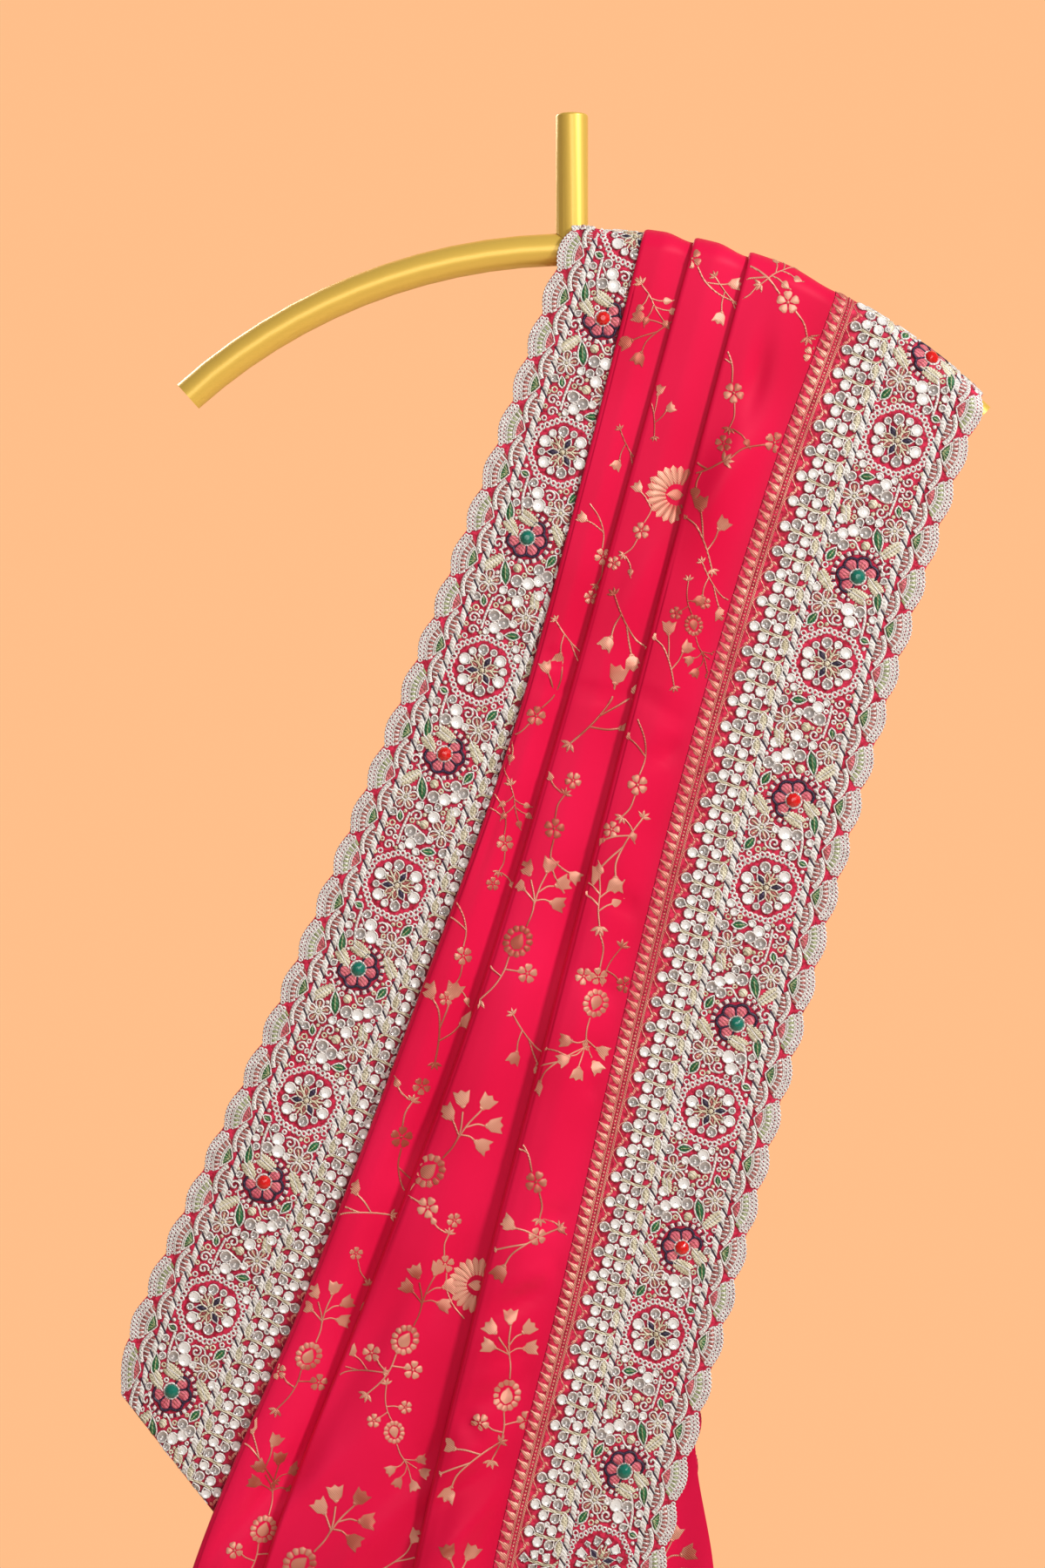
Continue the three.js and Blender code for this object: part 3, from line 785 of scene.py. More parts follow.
class Stitches:
    """Thread work on flat cloth. A place is across + 1j * along, and has a height of its own.

    Coarse work has fewer faces to a stitch. It is for the stretches that the photo leaves out.
    """

    def __init__(self, fine=True):
        self.fine, self.parts, self.count = fine, [], 0

    def add(self, places, heights, corners, thread, flat=False):
        places, heights = np.broadcast_arrays(np.asarray(places, complex), heights)
        corners = np.asarray(corners) + self.count
        looks = (np.full(len(corners), look) for look in (THREAD_NAMES.index(thread), flat))
        self.parts.append((places.ravel(), heights.ravel(), corners, *looks))
        self.count += places.size

    def joined(self):
        """Arrays of places, heights, triangles, threads and whether each face is flat."""
        return [np.concatenate(arrays) for arrays in zip(*self.parts)]

    def take(self, other, move, way=1.0):
        """Adds the stitches of another, turned and moved."""
        places, heights, corners, *looks = other.joined()
        self.parts.append((move + way * places, heights, corners + self.count, *looks))
        self.count += other.count

    def cord(self, path, radius, thread, closed=False, base=0.0, high=1.0):
        path = np.asarray(path, complex)
        across, up = FINE_CORD if self.fine else COARSE_CORD
        if not self.fine and len(path) > 6:
            path = path[::2] if closed else np.append(path[:-1:2], path[-1])
        way = np.roll(path, -1) - np.roll(path, 1) if closed else np.gradient(path)
        way = way / np.abs(way)
        places = path[:, None] + 1j * way[:, None] * radius * across
        corners = grid_triangles(len(path), len(across), closed)
        self.add(places, base + radius * high * up, corners, thread)

    def pad(self, outline, height, thread, base=0.0):
        """A filled shape, raised towards its middle."""
        outline = np.asarray(outline, complex)
        centre = outline.mean()
        if np.sum((np.conj(outline - centre) * np.roll(outline - centre, -1)).imag) < 0:
            outline = outline[::-1]
        n = len(outline)
        if not self.fine:
            i = np.arange(n)
            corners = np.stack([i, np.roll(i, -1), np.full(n, n)], -1)
            heights = base + height * np.append(np.full(n, 0.2), 1.0)
            self.add(np.append(outline, centre), heights, corners, thread)
            return
        places = np.concatenate([outline, mix(centre, outline, 0.6), [centre]])
        heights = base + height * np.concatenate([np.full(n, 0.1), np.full(n, 0.85), [1.0]])
        self.add(places, heights, ring_faces(n), thread)

    def ring(self, at, radius, cord, thread, sides=9, base=0.0):
        self.cord(at + radius * polygon(sides), cord, thread, True, base)

    def link(self, at, radius, cord, thread, sides=7, way=1.0, long=1.0):
        """A small ring with a ridged section, for chains of many."""
        sides = sides if self.fine else 5
        places = polygon(sides)[:, None] * (radius + cord * np.array((1.0, 0.0, -1.0)))
        places = at + way * (places.real * long + 1j * places.imag)
        self.add(places, (0.0, 1.3 * cord, 0.0), grid_triangles(sides, 3, True), thread)

    def bar(self, at, way, length, width, thread, height=0.7, lean=0.0):
        """A short satin stitch, ridged along its middle."""
        shape = BAR_BASE.real * length + 1j * BAR_BASE.imag * width + BAR_BASE.imag * lean
        self.add(at + way * shape, height * BAR_HEIGHTS, BAR_CORNERS, thread)

    def sequin(self, at, radius, bright=True, way=1.0, drop=0.0):
        """A cupped disc, ringed with cord; a drop draws the ring out to a point. One that is not
        bright is painted grey as painted shade.
        """
        n = 12 if self.fine else 7
        around = way * polygon(n)
        inner, floor = (0.5, 0.62) if bright else (0.62, 0.3)
        places = np.concatenate([at + radius * around, at + inner * radius * around, [at]])
        heights = np.concatenate([np.full(n, 0.9), np.full(n, floor), [floor - 0.1]])
        self.add(places, heights, ring_faces(n), "sequin" if bright else "sequin_in_painted_shade")
        if self.fine:
            # A white spot in the middle: the knot that holds the sequin, and a painted highlight,
            # larger on the grey ones.
            knot_and_highlight = (0.14 if bright else 0.3) * radius
            self.pad(at + knot_and_highlight * polygon(4), 0.5, "white", 0.4)
        outline = at + (radius + 0.3) * around * np.append(1 + drop, np.ones(n - 1))
        self.cord(outline, 0.48, "silver", True, 0.3, 1.7)

    def bead(self, at, radius, thread, base=0.0, sides=7):
        self.pad(at + radius * polygon(sides if self.fine else 4), radius * 0.8, thread, base)

    def spiral(self, at, radius, start, hand=1, thread="silver"):
        """A curl of two cords' width, with its tail at the start angle."""
        share = np.linspace(1, 0.12, 15)
        path = at + radius * share * turn(start + hand * 520 * (1 - share))
        self.cord(path, 0.6, thread, high=1.5)

    def leaf(self, at, angle, length, width, thread="green"):
        way = turn(angle)
        outline = at + way * leaf_outline(length, width)
        self.pad(at + way * leaf_outline(length * 0.86, width * 0.8), 0.7, thread)
        self.cord(outline, 0.5, "silver", True, 0, 1.5)
        self.cord(at + way * np.array((-0.24, 0.02, 0.3)) * length, 0.3, "pale_green", base=0.55)

    def feather(self, at, angle, length, width):
        """A leaf of slanted stitches either side of a rib."""
        way = turn(angle)
        self.pad(at + way * leaf_outline(length, width * 0.8), 0.35, "cream")
        self.cord(at + way * np.linspace(-0.55, 0.5, 4) * length, 0.4, "silver", base=0.3, high=1.8)
        count, thick = (7, 0.13 * length) if self.fine else (4, 0.2 * length)
        for share in np.linspace(-0.4, 0.34, count):
            wide = width * 0.62 * math.cos(share * 2.3) ** 0.6
            for hand in (-1, 1):
                along = turn(hand * 48)
                foot = at + way * (share * length + along * wide * 0.5)
                self.bar(foot, way * along, wide, thick, "cream", 1.1)

    def bloom(self, at, radius, start=90.0):
        """Five petals, each a loop of cord round a stripe."""
        around = polygon(10, 18)
        wide = 0.40 * around.imag * (0.78 + 0.22 * around.real)
        for k in range(5):
            petal = radius * turn(start + 72 * k)
            outline = petal * (0.6 + 0.42 * around.real + 1j * wide)
            self.cord(at + outline, 0.52, "silver", True, 0, 1.8)
            self.pad(at + petal * (0.6 + 0.28 * around.real + 0.6j * wide), 0.5, "rose")
            stripe = petal * np.array((0.2, 0.5, 0.84))
            self.cord(at + stripe, 0.42, "cream", base=0.25, high=1.6)
        self.bead(at, 0.14 * radius, "cream", 0.3)

    def gem(self, at, radius, thread):
        """A faceted stone in a ring of cord."""
        n = 8
        rows = ((1.0, 0.6, 0), (0.8, 2.0, 22.5), (0.36, 3.0, 0))
        places = [at + radius * r * polygon(n, a) for r, _, a in rows]
        heights = np.append(np.repeat([h for _, h, _ in rows], n), 3.1)
        i, j = np.arange(n), np.roll(np.arange(n), -1)
        faces = [(i, j, n + i), (j, n + j, n + i), (n + i, 2 * n + j, 2 * n + i)]
        faces += [(n + i, n + j, 2 * n + j), (2 * n + i, 2 * n + j, np.full(n, 3 * n))]
        faces = np.concatenate([np.stack(face, -1) for face in faces])
        self.add(np.append(places, at), heights, faces, thread, True)
        self.ring(at, radius + 0.35, 0.6, "silver", 14)


# ---- The border's chart: across from the scalloped edge, along from a medallion's centre

OUTER_BARS, INNER_BARS = 18.0, 58.4
BAND_MIDDLE = 38.2
BAR_PITCH = REPEAT / 16
FANS = 9  # of sequins to a repeat
FAN_PITCH = REPEAT / FANS
FAN_FOOT = 62.4
STRIP_LINES = (85.6, 89.3)
POINT_FOOT = 89.6
POINTS = 24
SCALLOPS = 5
MEDALLION_REACH = 20.6
LEAST_ROOM = 1.1  # round a spot that gets a small motif


def edging(s, pink_first):
    """Lobes with a chain along the edge, radiating stitches and a fan, pink and green by turns."""
    for k in range(SCALLOPS):
        middle = k * SCALLOP_PITCH
        pink = (k % 2 == 0) == pink_first

        def lobe(share, inset):
            """A place along one lobe, from -0.5 to 0.5, set in from the edge."""
            at = middle + share * SCALLOP_PITCH
            pull = 1 - inset / 28.0
            return scallop(at) * pull + inset + 1j * mix(middle, at, pull) + 0 * share

        for row, inset in enumerate((1.25, 3.35)):
            for share in (np.arange(11) + 0.25 + 0.5 * row) / 11 - 0.5:
                s.link(lobe(share, inset), 0.95, 0.5, "silver", 7)
        s.cord(lobe(np.linspace(-0.5, 0.5, 12), 4.9), 0.4, "silver", high=1.7)
        for i, share in enumerate(np.linspace(-0.47, 0.47, 16)):
            inner, outer = lobe(share * 0.9, 8.2), lobe(share, 5.2)
            way = (outer - inner) / abs(outer - inner)
            colour = ("silver", "pale_green" if pink else "rose")[i % 2]
            s.bar((inner + outer) / 2, way, abs(outer - inner), 1.3, colour, 1.0)
        for inset in (8.7, 9.7):
            s.cord(lobe(np.linspace(-0.36, 0.36, 10), inset), 0.45, "white", high=1.9)
        apex = 14.2 + 1j * middle
        upper = np.array((-1.6 + 2.6j, -3.4 + 5.0j, -4.1 + 2.6j))
        fan = np.concatenate([[-0.2], np.conj(upper), [-4.4], upper[::-1]])
        s.pad(apex + fan, 0.8, "pink" if pink else "green")
        for reach in (-4.0j, -2.0j, 0.0, 2.0j, 4.0j):
            rib = [apex - 0.8, apex - 3.9 + reach]
            s.cord(rib, 0.28, "rose" if pink else "pale_green", base=0.5, high=1.6)
        side = np.array((0.4, -1.4 + 3.4j, -3.6 + 6.2j, -5.2 + 7.2j))
        for path in (np.conj(side[::-1]), side):
            s.cord(apex + path, 0.42, "white", high=1.9)
        turns = np.linspace(-1, 1, 13)
        valley = 1j * (middle + SCALLOP_PITCH / 2)
        ribbon = 14.4 - 3.1 * np.cos(turns * math.pi / 2) ** 0.8 + valley + 8.4j * turns
        s.cord(ribbon, 1.25, "white", high=0.8)
        for i, place in enumerate(ribbon[1:-1]):
            s.bead(place + (0.35 if i % 2 else -0.35), 0.34, "navy", 0.85, 5)
        for i, share in enumerate(np.linspace(-0.8, 0.8, 11)):
            reach = 3.6 * math.cos(share * 1.2)
            across = 12.7 + 3.1 * (1 - math.cos(share * math.pi / 2)) + 0.5 * reach
            at = across + valley + 7.6j * share
            s.bar(at, turn(6 * share), reach, 1.05, ("rose", "silver")[i % 2], 1.0)


def slanted_bars(s):
    for at in np.arange(16) * BAR_PITCH:
        for across in (OUTER_BARS, INNER_BARS):
            s.bar(across + 1j * at, turn(94), BAR_PITCH * 0.9, 3.2, "white", 1.3, 3.4)
            path = across + 1j * (at + 0.5 * BAR_PITCH) + np.array((-2.5 + 2.4j, 2.5 - 2.4j))
            s.cord(path, 0.36, "navy", high=1.5)


def sequin_fans(s):
    """Five sequins either side of a stem, with a striped leaf at its foot."""
    members = ((5.6, -3.9), (5.4, 3.7), (12.4, -4.4), (12.2, 3.2), (18.0, -1.5))
    for k in range(FANS):
        foot = FAN_FOOT + 1j * (k + 0.5) * FAN_PITCH
        joints = foot + np.array((2.6, 2.6, 9.2, 9.2, 14.2 - 1.0j))
        for i, (across, along) in enumerate(members):
            at = foot + across + 1j * along
            bright = (k * 3 + i * 2) % 5 not in (1, 3)
            inwards = (joints[i] - at) / abs(joints[i] - at)
            s.sequin(at, 2.2, bright, inwards, 0.45)
        s.sequin(foot + 1.0 - 6.2j, 1.1, k % 2 == 0)
        s.sequin(foot + 9.0 + 7.6j, 0.9, k % 2 == 1)
        for shift in (-0.4j, 0.4j):
            path = foot + curve(-1.6 - 2.6j, 0.8, 6 + 0.3j, 12.0 - 0.4j, 15.4 - 1j)
            s.cord(path + shift, 0.46, "cream", high=1.8)
        s.cord(foot + curve(1.0, 0.2 + 4j, -0.8 + 10.2j), 0.55, "cream", high=1.6)
        leaf = foot - 0.4 + 4.8j
        s.cord(leaf + turn(98) * leaf_outline(10.4, 4.8, 5), 0.5, "silver", True, 0, 1.8)
        for share in np.linspace(-0.34, 0.34, 7):
            reach = 3.8 * math.cos(share * 2.7)
            s.bar(leaf + turn(98) * share * 10.4, turn(20), reach, 1.15, "cream", 0.9)


def medallion(s):
    middle = BAND_MIDDLE + 0j
    corners = middle + 18.6 * turn(16 + 45 * np.arange(9))
    for a, b in zip(corners[:-1], corners[1:]):
        way = (b - a) / abs(b - a)
        for share in (np.arange(5) + 0.5) / 5:
            s.link(mix(a, b, share), 1.25, 0.5, "silver", 9, way * 1j, 1.12)
    for k in range(3):
        way = turn(76 + 120 * k)
        s.pad(middle + way * (5.3 + leaf_outline(6.2, 3.2, 4)), 0.9, "navy")
        s.cord(middle + way * (5.3 + leaf_outline(7.0, 3.9, 4)), 0.42, "silver", True, 0, 1.7)
        s.cord(middle + way * np.array((8.4, 10.2)), 0.42, "silver", high=1.6)
        s.sequin(middle + way * 11.6, 1.35, False)
        for side in (-1, 1):
            petal = way * turn(side * 38)
            s.cord(middle + petal * (5.1 + leaf_outline(6.2, 3.0, 4)), 0.45, "cream", True, 0, 1.7)
            s.pad(middle + petal * (5.1 + leaf_outline(4.4, 1.5, 3)), 0.5, "rose")
            white = side * (k - 1) >= 0
            at = middle + way * turn(side * 30) * 11.4
            s.sequin(at, 2.6 if white else 2.3, white, -petal, 0.25)
        s.sequin(middle - way * 11.8, 1.5, True, way, 0.4)
        s.cord(middle - way * np.array((2.0, 6.0, 10.0)), 0.5, "cream", high=1.6)
        for side in (-1, 1):
            s.bead(middle - way * (8.2 + side * 2.2j), 1.0, "silver", 0.2)
    s.bead(middle, 1.5, "cream", 0.5)


def fan_flower(s, at, stone):
    """Five pink petals in a dark scalloped line, with white stitches round it and a stone."""
    for angle in (56.0, 4.0, -47.0, -98.0, -149.0):
        way = turn(angle)
        petal = mirrored(np.array((3.6 - 1.5j, 6.5 - 2.9j, 8.8 - 2.7j, 10.0 - 1.2j)))
        s.pad(at + way * petal, 0.75, "pink")
        for side in (-0.9j, 0.9j):
            vein = np.array((4.2, 8.0)) + np.array((0.4, 1.0)) * side
            s.cord(at + way * vein, 0.24, "rose", base=0.6)
        s.cord(at + way * turn(25.5) * np.array((4.4, 7.2, 9.0)), 0.6, "navy", high=1.3)
    angles = np.linspace(82, -176, 42)
    lobes = 9.0 + 2.0 * np.abs(np.cos(np.radians((angles - 56) * 180 / 51.5)))
    s.cord(at + lobes * turn(angles), 0.75, "navy", high=1.3)
    for angle in np.arange(70, -170, -17.5):
        s.bar(at + turn(angle) * 13.2, turn(angle), 2.3, 2.1, "white", 1.1)
        between = turn(angle + 8.75)
        s.cord([at + between * 12.0, at + between * 14.2], 0.3, "navy", high=1.5)
    s.feather(at + 9.8 * turn(100), 165, 12.0, 7.4)
    s.feather(at + 9.6 * turn(168), 140, 10.5, 6.8)
    s.gem(at, 4.0, stone)


def sequins(s, *rows):
    for place, radius, bright in rows:
        s.sequin(place, 1.13 * radius, bright)


def main_band(s, stone):
    """All that lies between one medallion and the next, from the middle of the first."""
    # Below the medallion
    s.leaf(47.1 + 23.4j, -166, 8.8, 4.6)
    s.bloom(50.6 + 35.6j, 7.6, 70)
    sequins(s, (40.2 + 28.6j, 2.5, False), (36.4 + 24.4j, 2.3, True), (34.0 + 30.6j, 2.5, False))
    s.sequin(45.4 + 29.8j, 1.6, True)
    s.cord(curve(44 + 29.8j, 38.5 + 32.4j, 33.0 + 33.8j, 29.0 + 31.2j), 0.5, "silver")
    s.cord(curve(29.6 + 21.4j, 29.2 + 30j, 29.8 + 40j), 0.7, "silver")
    s.spiral(23.6 + 25.6j, 3.2, 20, 1)
    s.ring(22.8 + 31.2j, 1.5, 0.5, "cream")
    s.leaf(25.4 + 36.4j, 110, 6.6, 3.6)
    s.bead(39.6 + 36.6j, 2.7, "cream")
    s.spiral(34.2 + 39.6j, 3.5, 200, -1)
    s.sequin(43.2 + 42.2j, 2.7, True)
    s.sequin(38.6 + 45.6j, 1.8, False)
    s.bloom(24.4 + 47.0j, 6.8, 30)
    # Above the fan flower
    s.sequin(45.2 + 53.4j, 2.8, True)
    s.sequin(38.8 + 52.6j, 2.8, False)
    s.sequin(53.2 + 49.2j, 2.1, True)
    s.feather(51.6 + 46.2j, -70, 9.5, 5.6)
    s.leaf(31.2 + 54.8j, 112, 14.6, 5.4)
    s.feather(23.4 + 58.6j, -130, 13.5, 6.4)
    sequins(s, (53.6 + 60.4j, 2.4, False), (50.2 + 56.6j, 2.2, True), (48.2 + 62.4j, 2.2, False))
    s.cord(curve(46.6 + 59.4j, 43.0 + 58.8j, 39.4 + 62.6j, 37.2 + 64.2j), 0.55, "silver")
    s.bead(36.6 + 59.4j, 2.6, "cream")
    s.leaf(52.8 + 69.0j, -110, 9.0, 4.6)
    s.ring(54.2 + 75.6j, 1.5, 0.5, "silver")
    s.spiral(21.9 + 68.4j, 3.7, -60, 1)
    s.cord(curve(24.6 + 66.0j, 26.8 + 63.4j, 28.0 + 61.4j), 0.5, "silver")
    fan_flower(s, 35.8 + 76.8j, stone)
    # Below the fan flower
    s.feather(51.2 + 84.2j, -46, 13.6, 6.2)
    s.leaf(21.9 + 86.9j, 106, 13.0, 4.8)
    s.bloom(48.6 + 95.6j, 7.5, 50)
    s.sequin(41.0 + 94.6j, 1.5, True)
    sequins(s, (35.8 + 95.6j, 2.7, True), (29.4 + 95.0j, 2.3, False), (33.0 + 101.6j, 2.5, True))
    s.cord(curve(30.0 + 86.4j, 27.4 + 92.0j, 25.6 + 98.6j, 25.0 + 108.0j), 0.75, "silver")
    s.cord(curve(31.6 + 98.4j, 28.2 + 102.0j, 25.2 + 106.4j), 0.5, "silver")
    s.sequin(21.6 + 97.2j, 1.5, True)
    s.sequin(21.4 + 102.6j, 1.5, False)
    s.leaf(22.6 + 109.4j, 170, 5.6, 3.8)
    s.spiral(39.8 + 102.2j, 3.5, 150, -1)
    s.leaf(52.4 + 105.4j, -114, 9.6, 4.8)
    s.cord(curve(45.6 + 101.6j, 43.6 + 104.8j, 40.6 + 105.6j), 0.5, "silver")
    s.ring(47.4 + 107.6j, 1.4, 0.45, "cream")
    s.ring(54.6 + 114.6j, 1.4, 0.45, "silver")
    s.sequin(54.4 + 13.0j, 1.8, True)
    s.ring(22.4 + 14.6j, 1.3, 0.45, "silver")
    s.ring(54.0 + 20.6j, 1.4, 0.45, "cream")
    s.ring(55.6 + 110.2j, 1.1, 0.4, "silver")
    if s.fine:
        fill_bare(s)


def fill_bare(s):
    """Curls, sequins, rings and seeds in the spots that the larger motifs leave bare."""
    stitched, _, corners, _, _ = s.joined()
    stitched = np.append(stitched, stitched[corners].mean(1))
    near = (stitched.real > 15) & (stitched.real < 62)
    stitched = np.concatenate([stitched[near] + 1j * k * REPEAT for k in (-1, 0, 1)])
    tree = KDTree(len(stitched))
    for i, place in enumerate(stitched):
        tree.insert((place.real, place.imag, 0), i)
    tree.balance()
    spots = []
    for along in np.arange(12, REPEAT - 12, 0.9):
        for across in np.arange(20, 57, 0.9):
            spot = across + 1j * along
            room = tree.find((across, along, 0))[2]
            from_medallion = min(abs(spot - BAND_MIDDLE - 1j * k * REPEAT) for k in (0, 1))
            if from_medallion > MEDALLION_REACH and room > LEAST_ROOM:
                spots.append((room, spot))
    added = []
    for room, spot in sorted(spots, key=lambda one: (-one[0], one[1].real, one[1].imag)):
        room = min([room] + [abs(spot - other) - radius for other, radius in added])
        if room < LEAST_ROOM:
            continue
        radius = min(room - 0.15, 3.0)
        n = len(added)
        if radius > 2.5:
            s.spiral(spot, radius, 90 * n, 1 - 2 * (n % 2))
        elif radius > 1.75:
            s.sequin(spot, radius - 0.5, n % 2 == 0, turn(70 * n), 0.4)
        elif radius > 1.3:
            s.ring(spot, radius - 0.45, 0.5, ("cream", "silver")[n % 2], 9)
        else:
            s.bead(spot, radius, ("silver", "cream")[n % 2], 0.1)
        added.append((spot, radius + 0.25))


def woven_strip(s):
    """Flat gold thread: a small vine, a strip of dots and a row of points."""
    for across in STRIP_LINES:
        for shift in (-0.35, 0.35):
            path = across + shift + 1j * np.linspace(0, REPEAT, 41)
            s.cord(path, 0.28, "border_zari", high=0.8)
    for at in (np.arange(66) + 0.5) * REPEAT / 66:
        s.bead(sum(STRIP_LINES) / 2 + 1j * at, 0.66, "border_zari", 0.0, 5)
    for k in range(FANS):
        middle = 1j * k * FAN_PITCH
        swing = np.linspace(-0.5, 0.5, 9)
        path = 82.8 - 2.2 * np.cos(swing * 2 * np.pi) + middle + 1j * swing * FAN_PITCH
        s.cord(path, 0.3, "border_zari", high=0.8)
        for side, slant in ((-1, 150), (1, 40), (0, 95)):
            at = 81.0 + side * 1.3 + middle + side * 1.8j
            s.pad(at + turn(slant) * leaf_outline(3.2, 1.7, 3), 0.3, "border_zari")
    for k in range(POINTS):
        foot = POINT_FOOT + 1j * (k + 0.5) * REPEAT / POINTS
        point = mirrored(np.array((0.8j, 1.0 + 1.75j, 2.6 + 1.75j, 4.6 + 0.8j)), 7.6)
        s.pad(foot + turn(-27) * point, 0.5, "border_zari")


# ---- Laying stitches on the cloth


def on_cloth(x, z):
    """Whether a flat place is on one side's cloth, from the arm's crest to the lower end."""
    return (over_arm(x, z) < WRAP_FLAT) & (z > FALL_END + 1)


def lay(name, stitches, place, keep, side):
    """Makes one mesh of stitches, by functions from places to points and to what is kept."""
    places, heights, corners, threads, flats = stitches.joined()
    kept = keep(places)[corners].all(1)
    corners, threads, flats = corners[kept], threads[kept], flats[kept]
    if side > 0:
        corners = corners[:, ::-1]
    used, corners = np.unique(corners, return_inverse=True)
    present, threads = np.unique(threads, return_inverse=True)
    looks = [THREADS[THREAD_NAMES[i]] for i in present]
    points = place(places[used], heights[used])
    obj = make(name, points, corners.reshape(-1, 3), looks, thread=threads, flat=flats)
    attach(obj, "root")
    return obj


def chart_of(*parts, fine=True):
    one = Stitches(fine)
    for part in parts:
        part(one)
    return one


# ---- Sprays woven into the body silk, growing to the right from their root

ZARI_HEIGHT, ZARI_LIFT = 0.35, 0.1
SPRAY_SIZE = 1.25


def satin(s, outline):
    s.pad(outline, ZARI_HEIGHT, "zari")


def zari_bloom(s, at, radius, start=90.0):
    half = np.array((0.5 - 0.3j, 0.84 - 0.38j, 1.0 - 0.16j))
    petal = np.append(0.18, mirrored(half, 0.94))
    for k in range(5):
        satin(s, at + radius * turn(start + 72 * k) * petal)
    s.bead(at, 0.15 * radius, "zari", 0, 5)


def tulip(s, at, way, size):
    """A cup of three pointed petals on its stalk's end."""
    half = np.array((0.02 - 0.14j, 0.22 - 0.40j, 0.55 - 0.47j, 0.98 - 0.56j, 0.84 - 0.24j))
    satin(s, at + way * size * mirrored(half, 1.04))
    satin(s, at + way * size * np.array((-0.16, -0.02 - 0.2j, 0.06, -0.02 + 0.2j)))


def bud(s, at, way, size):
    satin(s, at + way * size * (0.45 + leaf_outline(1.0, 0.72, 5, 0.6)))
    s.cord(at + way * size * np.array((0.9, 1.12 + 0.1j)), 0.3, "zari", high=0.6)


def calyx(s, at, way, size=3.2):
    for angle in (-64, -22, 22, 64):
        satin(s, at + way * turn(angle) * size * (0.55 + leaf_outline(1.2, 0.44, 3)))


def sun(s, at, way, radius, petals=13):
    """A pointed oval in a ring of petals."""
    satin(s, at + way * radius * leaf_outline(1.15, 0.82, 6, 0.7))
    for k in range(petals):
        out = turn(360 * (k + 0.5) / petals)
        foot = radius * (out.real * 0.84 + 1j * out.imag * 0.72)
        petal = 0.18 * radius * np.array((-1.1 - 0.6j, 0.7 - 1.1j, 1.3, 0.7 + 1.1j, -1.1 + 0.6j))
        satin(s, at + way * (foot + out * petal))


def twig(s, *points):
    s.cord(curve(*points), 0.42, "zari", high=0.7)


def branch(s):
    sun(s, 0, 1, 8.2)
    twig(s, 9, 17 + 1j, 24 + 4j, 31 + 10j)
    twig(s, 20 + 2j, 29 + 4j, 38 + 4.5j)
    twig(s, 27 + 3.6j, 32 + 1j, 34 - 2j)
    for at, angle in ((25 + 11j, 84), (33 + 12j, 55), (39 + 5j, 8), (35 - 3j, -42), (26 - 5j, -74)):
        tulip(s, at, turn(angle), 7.4)
    twig(s, 22 + 3j, 24 + 8j, 25 + 11j)
    twig(s, 23 + 2.4j, 25.5 - 1j, 26 - 5j)
    twig(s, -9, -17 - 1.5j, -26 - 1j, -36 + 2j)
    twig(s, -16 - 1j, -14 - 6j, -13 - 9j)
    twig(s, -20 - 1.6j, -19 + 4j, -17 + 7.6j)
    zari_bloom(s, -12 - 12.6j, 5.2)
    zari_bloom(s, -16 + 11.8j, 5.0, 40)
    calyx(s, -36 + 2j, turn(175), 4.4)


def blooms(s):
    zari_bloom(s, 0, 5.4, 20)
    twig(s, -5.4 + 1j, -12 + 3j, -17 + 7j)
    calyx(s, -17 + 7j, turn(140), 3.6)
    zari_bloom(s, -24 + 12j, 4.4, 60)
    twig(s, -18 + 5.6j, -22 + 2j, -25 + 0.6j)
    bud(s, -25 + 0.6j, turn(190), 5.2)
    twig(s, 5.4 - 0.6j, 14 - 3j, 24 - 2j, 34 + 2.4j)
    twig(s, 15 - 3j, 21 + 2.4j, 24 + 6.4j)
    tulip(s, 24 + 6.4j, turn(48), 6.4)


def buds(s):
    calyx(s, 0, turn(180), 4.6)
    twig(s, 0, 9 + 1j, 18 + 0.4j, 27 + 1j)
    bud(s, 27 + 1j, turn(4), 6.6)
    for foot, at, angle in (
        (11 + 1j, 16 + 7j, 62),
        (17 + 0.6j, 23 + 7.4j, 44),
        (8 + 1j, 12 - 6j, -70),
        (15 + 0.6j, 20 - 7j, -52),
    ):
        twig(s, foot, mix(foot, at, 0.55) + 0.6, at)
        bud(s, at, turn(angle), 6.4)
    twig(s, -3, -11 - 2.4j, -21 - 1j)
    zari_bloom(s, -26 - 0.4j, 4.9, 10)


def tulips(s):
    twig(s, -16 - 2j, -8 - 1.4j, 0, 8 + 2.6j, 13 + 7j)
    twig(s, 0, 8 - 1j, 15 - 1.4j)
    twig(s, -6 - 1j, -1 - 6j, 4 - 9j)
    tulip(s, 13 + 7j, turn(38), 7.2)
    tulip(s, 15 - 1.4j, turn(-8), 7.6)
    tulip(s, 4 - 9j, turn(-52), 7.0)
    calyx(s, -16 - 2j, turn(190), 3.4)


def half_sun(s):
    """A large open flower seen from the side, on its twig."""
    satin(s, 1.0 + leaf_outline(7.5, 5.0, 5))
    petal = mirrored(np.array((5.2 - 0.5j, 9.0 - 1.35j, 12.6 - 1.5j)), 14.2)
    for angle in np.linspace(-112, 112, 15):
        satin(s, turn(angle) * petal * (1 - 0.1 * abs(angle) / 112))
    twig(s, -4, -11 - 1j, -17 - 5j, -24 - 14j)
    twig(s, -12 - 1.4j, -18 + 1j, -22 + 5j)
    bud(s, -22 + 5j, turn(135), 5.4)
    bud(s, -19 - 7j, turn(-150), 5.0)
    zari_bloom(s, -27 - 19j, 5.0)


SPRAYS = {f.__name__: chart_of(f) for f in (branch, blooms, buds, tulips, half_sun)}
